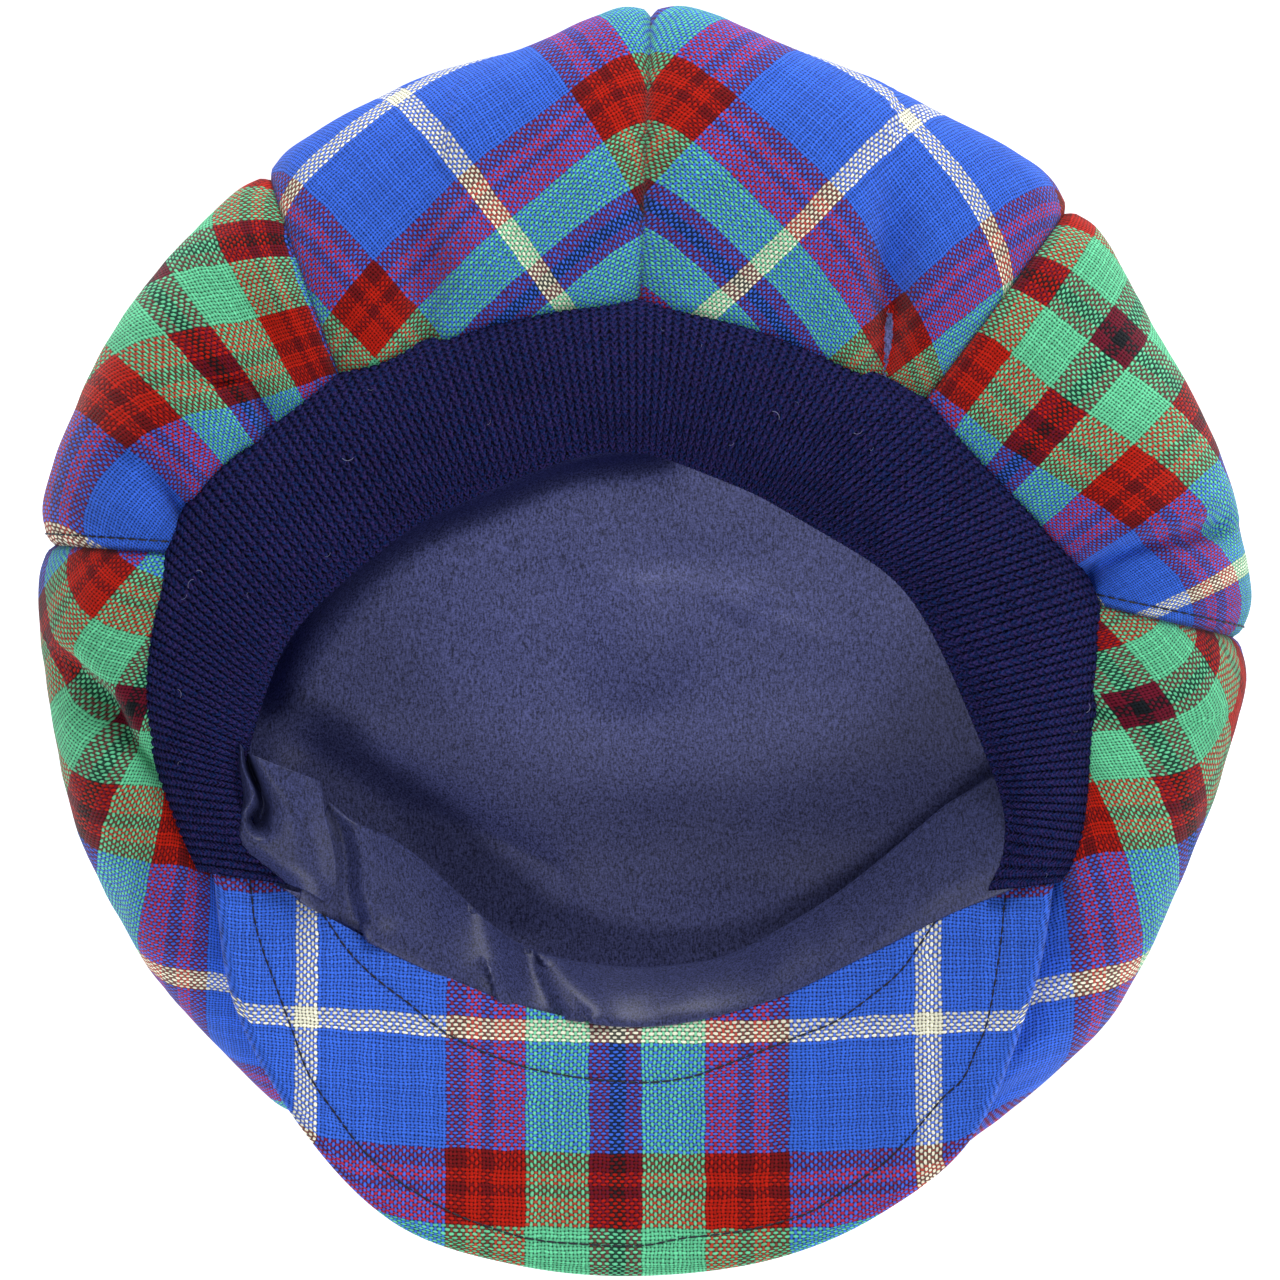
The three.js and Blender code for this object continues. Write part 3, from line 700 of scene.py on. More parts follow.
def tartan_cloth():
    """Plain-woven wool in a tartan. Every thread dips under and over the next ones, so that two colours that
    cross show as rows of short, rounded floats. Painted shade darkens the colour to nearly black in the low
    places between the floats, and painted highlight lightens their crowns. Threads have their real spacing."""
    cloth = bpy.context.scene.cap_cloth
    pitch = cloth.thread / MM
    material, tree = new_material("plain_woven_tartan_wool")
    place = add(tree, "ShaderNodeUVMap", {"uv_map": "cloth"})
    sway = add(
        tree, "ShaderNodeTexNoise", {},
        {"Vector": place, "Scale": 1 / SWAY_SIZE, "Detail": 3.0, "Roughness": 0.6},
    )
    level = (0.5, 0.5, 0.5)
    sway_off = add(
        tree, "ShaderNodeVectorMath", {"operation": "SUBTRACT"}, {0: sway.outputs["Color"], 1: level}
    )
    swayed = add(
        tree, "ShaderNodeVectorMath", {"operation": "MULTIPLY_ADD"},
        {0: sway_off, 1: (THREAD_SWAY, THREAD_SWAY, 0), 2: place},
    )
    counted = add(tree, "ShaderNodeVectorMath", {"operation": "SCALE"}, {0: swayed, "Scale": 1 / pitch})
    axes = add(tree, "ShaderNodeSeparateXYZ", {}, {0: counted})
    colours = []
    rounds = []
    numbers = []
    for axis in (0, 1):
        number = add(tree, "ShaderNodeMath", {"operation": "FLOOR"}, {0: axes.outputs[axis]})
        part = add(tree, "ShaderNodeMath", {"operation": "FRACT"}, {0: axes.outputs[axis]})
        along = add(
            tree, "ShaderNodeMath", {"operation": "MULTIPLY_ADD"},
            {0: number, 1: pitch / HALF_SETT, 2: 0.5 * pitch / HALF_SETT},
        )
        folded = add(tree, "ShaderNodeMath", {"operation": "PINGPONG"}, {0: along, 1: 1.0})
        ramp = add(tree, "ShaderNodeValToRGB", {}, {0: folded})
        ramp.color_ramp.interpolation = "CONSTANT"
        for k, (at, name) in enumerate(SETT):
            stop = ramp.color_ramp.elements[0] if k == 0 else ramp.color_ramp.elements.new(at / HALF_SETT)
            stop.position = at / HALF_SETT
            stop.color = (*getattr(cloth, name), 1)
        ramp.color_ramp.elements.remove(ramp.color_ramp.elements[-1])
        own = add(tree, "ShaderNodeTexWhiteNoise", {"noise_dimensions": "1D"}, {"W": number})
        shade = add(tree, "ShaderNodeMapRange", {}, {"Value": own, "To Min": 0.8, "To Max": 1.16})
        off = add(tree, "ShaderNodeMath", {"operation": "MULTIPLY_ADD"}, {0: part, 1: 2.0, 2: -1.0})
        square = add(tree, "ShaderNodeMath", {"operation": "MULTIPLY"}, {0: off, 1: off})
        dyed = add(tree, "ShaderNodeVectorMath", {"operation": "SCALE"}, {0: ramp, "Scale": shade.outputs[0]})
        section = add(tree, "ShaderNodeMath", {"operation": "MULTIPLY_ADD"}, {0: square, 1: -1.3, 2: 1.0})
        colours.append(dyed)
        rounds.append(section)
        numbers.append(number)
    heights = []
    for axis, sign in ((0, 1), (1, -1)):
        run = add(tree, "ShaderNodeMath", {"operation": "ADD"}, {0: axes.outputs[1 - axis], 1: numbers[axis]})
        turn = add(tree, "ShaderNodeMath", {"operation": "MULTIPLY"}, {0: run, 1: math.pi})
        wave = add(tree, "ShaderNodeMath", {"operation": "SINE"}, {0: turn})
        dip = add(tree, "ShaderNodeMath", {"operation": "MULTIPLY"}, {0: wave, 1: sign * THREAD_DIP})
        top = add(
            tree, "ShaderNodeMath", {"operation": "MULTIPLY_ADD"},
            {0: rounds[axis], 1: 1 - THREAD_DIP, 2: dip},
        )
        heights.append(top)
    over = add(tree, "ShaderNodeMath", {"operation": "GREATER_THAN"}, {0: heights[1], 1: heights[0]})
    blend = add(
        tree, "ShaderNodeMath", {"operation": "MULTIPLY_ADD"},
        {0: over, 1: 1 - 2 * SHOW_THROUGH, 2: SHOW_THROUGH},
    )
    height = add(tree, "ShaderNodeMath", {"operation": "MAXIMUM"}, {0: heights[0], 1: heights[1]})
    colour = add(
        tree, "ShaderNodeMix", {"data_type": "RGBA"},
        {0: blend, 6: colours[0].outputs[0], 7: colours[1].outputs[0]},
    )
    fuzz = add(
        tree, "ShaderNodeTexNoise", {}, {"Vector": place, "Scale": 1.5, "Detail": 4.0, "Roughness": 0.7}
    )
    fuzzy = add(tree, "ShaderNodeMath", {"operation": "MULTIPLY_ADD"}, {0: fuzz, 1: 0.7, 2: height})
    # Painted shade and highlight: the threads' colour goes nearly black where the weave lies low and brighter
    # on the floats' crowns
    painted_thread_shade = add(
        tree, "ShaderNodeMapRange", {"interpolation_type": "SMOOTHSTEP"},
        {"Value": fuzzy, "From Min": 0.4, "From Max": 1.24, "To Min": 0.1, "To Max": 1.4},
    )
    shown = add(
        tree, "ShaderNodeVectorMath", {"operation": "SCALE"}, {0: colour.outputs[2], "Scale": painted_thread_shade.outputs[0]}
    )
    bump = add(tree, "ShaderNodeBump", {}, {"Height": fuzzy, "Strength": 0.6, "Distance": 0.3 * MM})
    finish_material(tree, {
        "Base Color": shown,
        "Normal": bump,
        "Roughness": 0.9,
        "Specular IOR Level": 0.05,
        "Sheen Weight": 0.16,
        "Sheen Roughness": 0.5,
    })
    return material


def rib_knit():
    """Navy wool rib knit: matt and furry, with small V stitches down each rib and a few paler fibres. Painted
    shade darkens the furrows between the ribs and the dips between the stitches, and painted highlight
    lightens their crowns.
    """
    knit = bpy.context.scene.cap_knit
    material, tree = new_material("ribbed_wool_knit")
    place = add(tree, "ShaderNodeUVMap", {"uv_map": "cloth"})
    axes = add(tree, "ShaderNodeSeparateXYZ", {}, {0: place})
    rib = add(tree, "ShaderNodeMath", {"operation": "FRACT"}, {0: axes.outputs[0]})
    off = add(tree, "ShaderNodeMath", {"operation": "MULTIPLY_ADD"}, {0: rib, 1: 2.0, 2: -1.0})
    side = add(tree, "ShaderNodeMath", {"operation": "ABSOLUTE"}, {0: off})
    row = add(
        tree, "ShaderNodeMath", {"operation": "MULTIPLY_ADD"}, {0: axes.outputs[1], 1: 1 / KNIT_ROW, 2: side}
    )
    wave = add(tree, "ShaderNodeMath", {"operation": "PINGPONG"}, {0: row, 1: 0.5})
    where = add(tree, "ShaderNodeTexCoord").outputs["Object"]
    hair = add(
        tree, "ShaderNodeTexNoise", {}, {"Vector": where, "Scale": 2100.0, "Detail": 2.0, "Roughness": 0.7}
    )
    cloudy = add(tree, "ShaderNodeTexNoise", {}, {"Vector": where, "Scale": 60.0, "Detail": 2.0})
    furrow = add(
        tree, "ShaderNodeMapRange", {}, {"Value": side, "From Min": 0.45, "To Min": 0.0, "To Max": -0.16}
    )
    stitch = add(tree, "ShaderNodeMath", {"operation": "MULTIPLY_ADD"}, {0: wave, 1: 0.5, 2: hair})
    relief = add(tree, "ShaderNodeMath", {"operation": "ADD"}, {0: stitch, 1: furrow})
    # Painted shade and highlight: the colour runs from nearly black in the furrows and between stitches to over
    # twice as bright on their crowns
    tone = add(
        tree, "ShaderNodeMapRange", {},
        {"Value": relief, "From Min": 0.38, "From Max": 0.84, "To Min": 0.03, "To Max": 2.4},
    )
    patchy = add(tree, "ShaderNodeMapRange", {}, {"Value": cloudy, "To Min": 0.8, "To Max": 1.2})
    mixed = add(tree, "ShaderNodeMath", {"operation": "MULTIPLY"}, {0: tone, 1: patchy})
    hue = add(tree, "ShaderNodeTexNoise", {}, {"Vector": where, "Scale": 1500.0, "Detail": 2.0})
    flecked = add(tree, "ShaderNodeMapRange", {}, {"Value": hue, "From Min": 0.38, "From Max": 0.62})
    fibres = add(
        tree, "ShaderNodeMix", {"data_type": "RGBA"}, {0: flecked, 6: (*knit.colour, 1), 7: (*knit.fleck, 1)}
    )
    shown = add(
        tree, "ShaderNodeVectorMath", {"operation": "SCALE"},
        {0: fibres.outputs[2], "Scale": mixed.outputs[0]},
    )
    bump = add(tree, "ShaderNodeBump", {}, {"Height": relief, "Strength": 0.9, "Distance": 0.5 * MM})
    finish_material(tree, {
        "Base Color": shown,
        "Normal": bump,
        "Roughness": 0.95,
        "Specular IOR Level": 0.08,
    })
    return material


def twill_satin(name, part, roughness):
    """Navy twill satin: a broad soft sheen, and a fine slanting grain. The real grain, about 0.3 mm, is too
    fine to show, so it is drawn at 0.6 mm."""
    satin = bpy.context.scene.cap_satin
    material, tree = new_material(name)
    where = add(tree, "ShaderNodeTexCoord").outputs["Object"]
    turned = add(
        tree, "ShaderNodeMapping", {}, {"Vector": where, "Rotation": (0, 0, GRAIN_TURN), "Scale": (1, 0.3, 1)}
    )
    grain = add(
        tree, "ShaderNodeTexNoise", {}, {"Vector": turned, "Scale": 2500.0, "Detail": 2.0, "Roughness": 0.6}
    )
    speck = add(tree, "ShaderNodeTexNoise", {}, {"Vector": where, "Scale": 2300.0, "Detail": 2.0})
    mixed = add(tree, "ShaderNodeMath", {"operation": "ADD"}, {0: grain, 1: speck})
    tone = add(
        tree, "ShaderNodeMapRange", {},
        {"Value": mixed, "From Min": 0.76, "From Max": 1.24, "To Min": 0.3, "To Max": 1.7},
    )
    shown = add(
        tree, "ShaderNodeVectorMath", {"operation": "SCALE"},
        {0: getattr(satin, part), "Scale": tone.outputs[0]},
    )
    bump = add(tree, "ShaderNodeBump", {}, {"Height": mixed, "Strength": 0.25, "Distance": 0.1 * MM})
    finish_material(tree, {
        "Base Color": shown,
        "Normal": bump,
        "Roughness": roughness,
        "Specular IOR Level": 0.35,
    })
    return material


def loose_fibre():
    """Pale wool fibre, matt and thin enough to catch the light only here and there."""
    material, tree = new_material("loose_pale_wool_fibre")
    finish_material(tree, {"Base Color": linear("#8A8CB0"), "Roughness": 0.7})
    return material


def sewing_thread():
    """Dark polyester sewing thread: nearly black, with the small hard gleam of twisted thread."""
    material, tree = new_material("polyester_sewing_thread")
    where = add(tree, "ShaderNodeTexCoord")
    twist = add(tree, "ShaderNodeTexNoise", {}, {"Vector": where.outputs["Object"], "Scale": 2500.0})
    tone = add(
        tree, "ShaderNodeMix", {"data_type": "RGBA"}, {0: twist, 6: linear("#0B0D1C"), 7: linear("#1F2438")}
    )
    bump = add(tree, "ShaderNodeBump", {}, {"Height": twist, "Strength": 0.3, "Distance": 0.05 * MM})
    finish_material(tree, {"Base Color": tone.outputs[2], "Normal": bump, "Roughness": 0.55})
    return material


def glowing_backdrop():
    """White matt acrylic lit from below, as on a light table: it shows no texture and no shadow."""
    stage = bpy.context.scene.cap_stage
    material, tree = new_material("white_acrylic_light_table")
    finish_material(tree, {
        "Base Color": (*stage.floor, 1),
        "Roughness": 0.9,
        "Specular IOR Level": 0.1,
        "Emission Color": (1, 1, 1, 1),
        "Emission Strength": stage.glow,
    })
    return material


MADE = {}


def finish(maker, *args):
    """The material that a function makes, made once."""
    key = (maker.__name__, *args)
    if key not in MADE:
        MADE[key] = maker(*args)
    return MADE[key]


# Node trees


def new_tree(name, **sockets):
    """A tree of geometry nodes with named inputs, and the node that hands them on."""
    tree = bpy.data.node_groups.new(name, "GeometryNodeTree")
    face = tree.interface
    face.new_socket("Geometry", in_out="INPUT", socket_type="NodeSocketGeometry")
    for socket, kind in sockets.items():
        face.new_socket(socket, in_out="INPUT", socket_type="NodeSocket" + kind)
    face.new_socket("Geometry", in_out="OUTPUT", socket_type="NodeSocketGeometry")
    return tree, add(tree, "NodeGroupInput").outputs


def finish_tree(tree, geometry, surface):
    """End a tree in real geometry with its material."""
    real = add(tree, "GeometryNodeRealizeInstances", {}, {"Geometry": geometry})
    done = add(tree, "GeometryNodeSetMaterial", {}, {"Geometry": real, "Material": surface})
    add(tree, "NodeGroupOutput", {}, {"Geometry": done})
    return tree


def stitch_tree():
    """Stitches laid end to end along the edges of a mesh."""
    tree, given = new_tree(
        "stitches_along_a_seam", Pitch="Float", Length="Float", Radius="Float", Thread="Material"
    )
    seam = add(tree, "GeometryNodeMeshToCurve", {}, {"Mesh": given["Geometry"]})
    points = add(
        tree, "GeometryNodeResampleCurve", {"mode": "LENGTH"}, {"Curve": seam, "Length": given["Pitch"]}
    )
    ball = add(tree, "GeometryNodeMeshIcoSphere", {}, {"Radius": 1.0, "Subdivisions": 2})
    half = add(tree, "ShaderNodeMath", {"operation": "MULTIPLY"}, {0: given["Length"], 1: 0.5})
    size = add(tree, "ShaderNodeCombineXYZ", {}, {0: given["Radius"], 1: given["Radius"], 2: half})
    tangent = add(tree, "GeometryNodeInputTangent")
    turn = add(tree, "FunctionNodeAlignRotationToVector", {"axis": "Z"}, {"Vector": tangent})
    placed = add(
        tree, "GeometryNodeInstanceOnPoints", {},
        {"Points": points, "Instance": ball.outputs["Mesh"], "Rotation": turn, "Scale": size},
    )
    return finish_tree(tree, placed, given["Thread"])


def rib_tree():
    """Ribs raised on a mesh by the count of ribs that its points carry."""
    tree, given = new_tree("knitted_ribs", Height="Float", Wool="Material")
    count = add(tree, "GeometryNodeInputNamedAttribute", {"data_type": "FLOAT"}, {"Name": "rib"})
    turn = add(tree, "ShaderNodeMath", {"operation": "MULTIPLY"}, {0: count, 1: math.pi})
    wave = add(tree, "ShaderNodeMath", {"operation": "SINE"}, {0: turn})
    hump = add(tree, "ShaderNodeMath", {"operation": "ABSOLUTE"}, {0: wave})
    soft = add(tree, "ShaderNodeMath", {"operation": "POWER"}, {0: hump, 1: 0.6})
    mask = add(tree, "GeometryNodeInputNamedAttribute", {"data_type": "FLOAT"}, {"Name": "ribbed"})
    masked = add(tree, "ShaderNodeMath", {"operation": "MULTIPLY"}, {0: soft, 1: mask})
    high = add(tree, "ShaderNodeMath", {"operation": "MULTIPLY"}, {0: masked, 1: given["Height"]})
    normal = add(tree, "GeometryNodeInputNormal")
    move = add(tree, "ShaderNodeVectorMath", {"operation": "SCALE"}, {0: normal, "Scale": high.outputs[0]})
    moved = add(tree, "GeometryNodeSetPosition", {}, {"Geometry": given["Geometry"], "Offset": move})
    return finish_tree(tree, moved, given["Wool"])


def lint_tree():
    """Loose curved hairs scattered over a surface."""
    tree, given = new_tree(
        "lint_on_knit", Density="Float", Length="Float", Radius="Float", Seed="Int", Hair="Material"
    )
    spots = add(
        tree, "GeometryNodeDistributePointsOnFaces", {},
        {"Mesh": given["Geometry"], "Density": given["Density"], "Seed": given["Seed"]},
    )
    arc = add(
        tree, "GeometryNodeCurveArc", {},
        {"Resolution": 6, "Radius": given["Length"], "Sweep Angle": math.radians(110)},
    )
    ring = add(tree, "GeometryNodeCurvePrimitiveCircle", {}, {"Resolution": 4, "Radius": given["Radius"]})
    hair = add(tree, "GeometryNodeCurveToMesh", {}, {"Curve": arc, "Profile Curve": ring, "Fill Caps": True})
    spin = add(
        tree, "FunctionNodeRandomValue", {"data_type": "FLOAT_VECTOR"},
        {"Min": (-0.5, -0.5, 0.0), "Max": (0.5, 0.5, 6.28), "Seed": given["Seed"]},
    )
    size = add(
        tree, "FunctionNodeRandomValue", {"data_type": "FLOAT"}, {2: 0.4, 3: 1.2, "Seed": given["Seed"]}
    )
    placed = add(
        tree, "GeometryNodeInstanceOnPoints", {},
        {"Points": spots.outputs["Points"], "Instance": hair, "Rotation": spin.outputs[0],
         "Scale": size.outputs[1]},
    )
    return finish_tree(tree, placed, given["Hair"])


def apply_tree(obj, tree, **values):
    """Run a node tree on an object with named inputs, and keep the result as a plain mesh."""
    modifier = obj.modifiers.new(tree.name, "NODES")
    modifier.node_group = tree
    sockets = {s.name: s.identifier for s in tree.interface.items_tree if s.in_out == "INPUT"}
    for name, value in values.items():
        modifier[sockets[name]] = value
    plain(obj)


def sewn_rows(name, rows):
    """One object with stitches along each row of points in millimetres."""
    stitching = bpy.context.scene.cap_stitching
    edges = []
    start = 0
    for row in rows:
        edges += [(start + k, start + k + 1) for k in range(len(row) - 1)]
        start += len(row)
    obj = new_object(name, np.concatenate(rows), edges, [])
    apply_tree(
        obj, stitch_tree(), Pitch=stitching.pitch, Length=stitching.length, Radius=stitching.radius,
        Thread=finish(sewing_thread),
    )
    smooth(obj)
    return obj


# Peak


def peak_point(x, y, under):
    """Point of the peak's sheet over a place in plan, a distance under its upper face."""
    sine, cosine = math.sin(PEAK_PITCH), math.cos(PEAK_PITCH)
    a = np.arcsin((x - PEAK_MIDDLE[0]) / PEAK_BEND)
    bow = PEAK_BEND * (1 - np.cos(a))
    forward = (PEAK_MIDDLE[1] + bow * sine - y) / cosine
    z = PEAK_Z + forward * sine + bow * cosine
    aside = under - BOARD / 2
    return np.stack([x + aside * np.sin(a), y - aside * np.cos(a) * sine, z - under * np.cos(a) * cosine], -1)


def peak_cloth(x, y):
    """Place in the tartan of a place in plan on the peak: straight along and across the bent sheet."""
    a = np.arcsin((x - PEAK_MIDDLE[0]) / PEAK_BEND)
    bow = PEAK_BEND * (1 - np.cos(a))
    start = math.asin((PEAK_WHITE_X - PEAK_MIDDLE[0]) / PEAK_BEND)
    along = (PEAK_WHITE_Y + bow * math.sin(PEAK_PITCH) - y) / math.cos(PEAK_PITCH)
    pulled = smoothstep(np.abs(x - PEAK_MIDDLE[0]), *PEAK_SIDES)
    along = along - PEAK_SIDE_SHIFT * pulled - PEAK_SLANT * np.maximum(0, x)
    along = along * (1 + PEAK_SIDE_SQUEEZE * pulled)
    along = along + PEAK_FRONT_SHIFT * smoothstep(along, 0, PEAK_FRONT_REACH)
    return np.stack([(a - start) * PEAK_BEND * PEAK_STRETCH, along], -1)


def near_rows(x, y, rows, reach):
    """How near a place is to rows of points, from 1 on a row to 0 far from it."""
    least = np.full(x.shape, np.inf)
    for row in rows:
        for px, py in batten(row, np.linspace(0, 1, PULL_POINTS)):
            least = np.minimum(least, (x - px) ** 2 + (y - py) ** 2)
    return np.exp(-least / reach**2)


# Sizes and colours that a user would change


def measure(name, description, millimetres):
    """A length that a user can change."""
    return bpy.props.FloatProperty(
        name=name, description=description, default=millimetres * MM, subtype="DISTANCE", unit="LENGTH",
        precision=5,
    )


def dye(name, description, code):
    """A colour that a user can change."""
    return bpy.props.FloatVectorProperty(
        name=name, description=description, default=linear(code)[:3], subtype="COLOR"
    )


class CapCloth(bpy.types.PropertyGroup):
    thread: measure("Thread spacing", "From one thread of the tartan to the next", 0.9)
    white: dye("White", "Narrow stripe", "#F6F4DC")
    blue: dye("Blue", "Wide ground", "#3868DC")
    red: dye("Red", "Bright lines of the red stripe", "#B21A0A")
    dark_red: dye("Dark red", "Dark lines of the red stripe", "#741014")
    green: dye("Green", "Green stripes", "#66CC9A")
    maroon: dye("Maroon", "Edges of the dark stripe", "#641026")
    black: dye("Black", "Middle of the dark stripe", "#12181E")


class CapKnit(bpy.types.PropertyGroup):
    pitch: measure("Rib spacing", "From one rib to the next, at the rim", 2.2)
    height: measure("Rib height", "How far a rib stands out", 0.6)
    colour: dye("Wool", "Main colour of the knit", "#0E1F4C")
    fleck: dye("Fleck", "Fibres mixed into it", "#2A204E")
    lint: bpy.props.FloatProperty(name="Lint", description="Loose hairs to a square metre", default=1500)


class CapSatin(bpy.types.PropertyGroup):
    # The lining's colour is much paler than the strip's, though both are the same navy satin: the extra
    # paleness is painted sheen.
    lining: dye("Lining", "Colour of the lining", "#5F65A0")
    strip: dye("Strip", "Colour of the strip behind the peak", "#393E68")


class CapStitching(bpy.types.PropertyGroup):
    pitch: measure("Stitch spacing", "From one stitch to the next", 2.5)
    length: measure("Stitch length", "Length of thread that shows", 2.4)
    radius: measure("Thread radius", "Half the sewing thread's thickness", 0.24)


class CapStage(bpy.types.PropertyGroup):
    floor: dye("Floor", "Colour of the floor", "#F4F4F4")
    glow: bpy.props.FloatProperty(name="Glow", description="Light that the floor gives off", default=0.7)
    distance: measure("Camera height", "Height of the camera over the floor", 3000)
    view_width: measure("View width", "Width that the camera sees, 40 mm over the floor", 294.25)


# Operators


class CAP_OT_crown(bpy.types.Operator):
    """Make the eight puffed panels of the crown"""

    bl_idname = "cap.crown"
    bl_label = "Crown panels"

    def execute(self, context):
        stages = fine_steps(*CROWN_STEPS)
        share = crowded(CROWN_COLUMNS, CROWN_CROWDING)
        middle = CROWN_COLUMNS // 2
        at_edge = CROWN_STEPS[0] + CROWN_STEPS[1]
        for number, lay in enumerate(TARTAN_LAY):
            seat = (number + share)[:, None] + 0 * stages
            stage = stages + 0 * seat
            form = crown_form(seat, stage)
            across = run_lengths(form)
            across = across - across[middle]
            along = run_lengths(form[middle])
            width = across[-1] - across[0]
            p, q = lay_out(across, along, np.gradient(width, along) / width)
            q = q - along[at_edge]
            place = np.stack([tartan_place(threads, p, q) for threads in lay], -1).reshape(-1, 2)
            points, faces = shell(crown_skin(seat, stage), crown_skin(seat, stage, CLOTH))
            name = f"crown_panel_{number + 1}"
            obj = piece(name + "_cloth", points, faces, finish(tartan_cloth), np.concatenate([place, place]))
            settle(obj, "tartan_cloth", name)
        return {"FINISHED"}


class CAP_OT_band(bpy.types.Operator):
    """Make the rib-knit band"""

    bl_idname = "cap.band"
    bl_label = "Knit band"

    def execute(self, context):
        knit = context.scene.cap_knit
        reach = BAND_PANELS * len(RIMS) // PANELS
        rims = np.array([RIMS[k % len(RIMS)] for k in range(-reach, reach + 1)], float)
        rims[0] = (*BAND_RIM_ENDS[0], BAND_END_Z)
        rims[-1] = (*BAND_RIM_ENDS[1], BAND_END_Z)
        frees = [(*xy, rim[2]) for xy, rim in zip(BAND_FREE, rims)]
        rims[:, :2] += BAND_TUCK * rims[:, :2] / np.hypot(rims[:, 0], rims[:, 1])[:, None]
        fine = np.linspace(0, 1, BAND_POINTS)
        length = run_lengths(batten(rims, fine))
        ribs = round(length[-1] / (knit.pitch / MM))
        rib = np.linspace(0, ribs, ribs * RIB_COLUMNS + 1)
        place = np.interp(rib / ribs * length[-1], length, fine)
        rim = batten(rims, place)
        free = eased(frees, place)
        from_end = BAND_PANELS * (1 - np.abs(place * 2 - 1))
        height = smoothstep(from_end, 0, BAND_TAPER)[:, None]
        across = np.interp(fine_steps(*BAND_ROWS), range(len(BAND_BREAKS)), BAND_BREAKS)
        top = rim[:, None] + (free - rim)[:, None] * across[None, :, None]
        full = BAND_END_RISE + (1 - BAND_END_RISE) * height
        top[..., 2] += np.interp(across, *zip(*BAND_PROFILE)) * full
        top[..., 2] += sum(humps(top, BAND_HUMPS)) * np.minimum(1, across / BAND_LOOSE)
        inwards = (free - rim) / np.linalg.norm(free - rim, axis=-1, keepdims=True)
        loops = folded_over(top, inwards, KNIT, 2)
        count, rows = loops.shape[:2]
        down = run_lengths(loops.swapaxes(0, 1)).mean(1)
        places = np.stack([np.repeat(rib, rows), np.tile(down, count)], -1)
        obj = piece("knit_band_wool", *tube(loops), finish(rib_knit), places)

        on_top = len(across)
        on_fold = rows - len(top[0, ::-2])
        ribbed = np.zeros(rows)
        sunk = (1 - EDGE_RIBS) * smoothstep(across, RIBS_SINK, 1)
        ribbed[:on_top] = np.clip(across / RIBS_FULL, 0, 1) * (1 - sunk)
        ribbed[on_top:on_fold] = EDGE_RIBS
        for name, values in (("rib", np.repeat(rib, rows)), ("ribbed", np.tile(ribbed, count))):
            layer = obj.data.attributes.new(name, "FLOAT", "POINT")
            layer.data.foreach_set("value", values.astype(np.float32))
        apply_tree(obj, rib_tree(), Height=knit.height, Wool=finish(rib_knit))
        smooth(obj)
        settle(obj, "rib_knit", "knit_band")

        skin = top[::3, 3:-1] + (0, 0, HAIR_HEIGHT)
        faces = grid_faces(np.arange(skin[..., 0].size).reshape(skin.shape[:2]))
        lint = piece("knit_band_lint", skin.reshape(-1, 3), faces, finish(loose_fibre))
        apply_tree(
            lint, lint_tree(), Density=knit.lint, Length=HAIR_LENGTH * MM, Radius=HAIR_RADIUS * MM,
            Seed=HAIR_SEED, Hair=finish(loose_fibre),
        )
        settle(lint, "rib_knit")
        return {"FINISHED"}


class CAP_OT_lining(bpy.types.Operator):
    """Make the satin lining"""

    bl_idname = "cap.lining"
    bl_label = "Lining"

    def execute(self, context):
        stages = fine_steps(*LINING_STEPS)
        seat = np.linspace(0, PANELS, LINING_COLUMNS, endpoint=False)[:, None] + 0 * stages
        stage = stages + 0 * seat
        out = outward(lining_form, seat, stage)
        base = lining_form(seat, stage) + (0, 0, CLOTH + SEWN_GAP)
        x, y = base[..., 0], base[..., 1]
        low_x, low_y = LINING_LOW
        rise = LINING_CURVE * np.hypot(x - low_x, y - low_y) ** 2
        rise += LINING_LIFT * (1 - smoothstep(-y, *LIFT_ENDS))
        rise += LINING_TILT * np.maximum(0, y - low_y) * smoothstep(x, *TILT_STARTS)
        rise = np.maximum(0, rise - crease_depth(LINING_FOLDS, x, y))
        base[..., 2] += rise * (1 - smoothstep(stage, *LINING_FADE))
        loose = smoothstep(3 - stage, 0, LINING_TIGHT) * smoothstep(np.hypot(x, y), *LINING_EYE)
        away = np.maximum(0, LINING_SWELL + sum(humps(base, LINING_HUMPS))) * loose
        lower = base - out * away[..., None]
        upper = base - out * (away + SATIN)[..., None]
        satin = finish(twill_satin, "satin_weave_lining", "lining", 0.5)
        obj = piece("lining_satin", *shell(lower, upper, True), satin)
        settle(obj, "satin_lining", "lining")
        return {"FINISHED"}


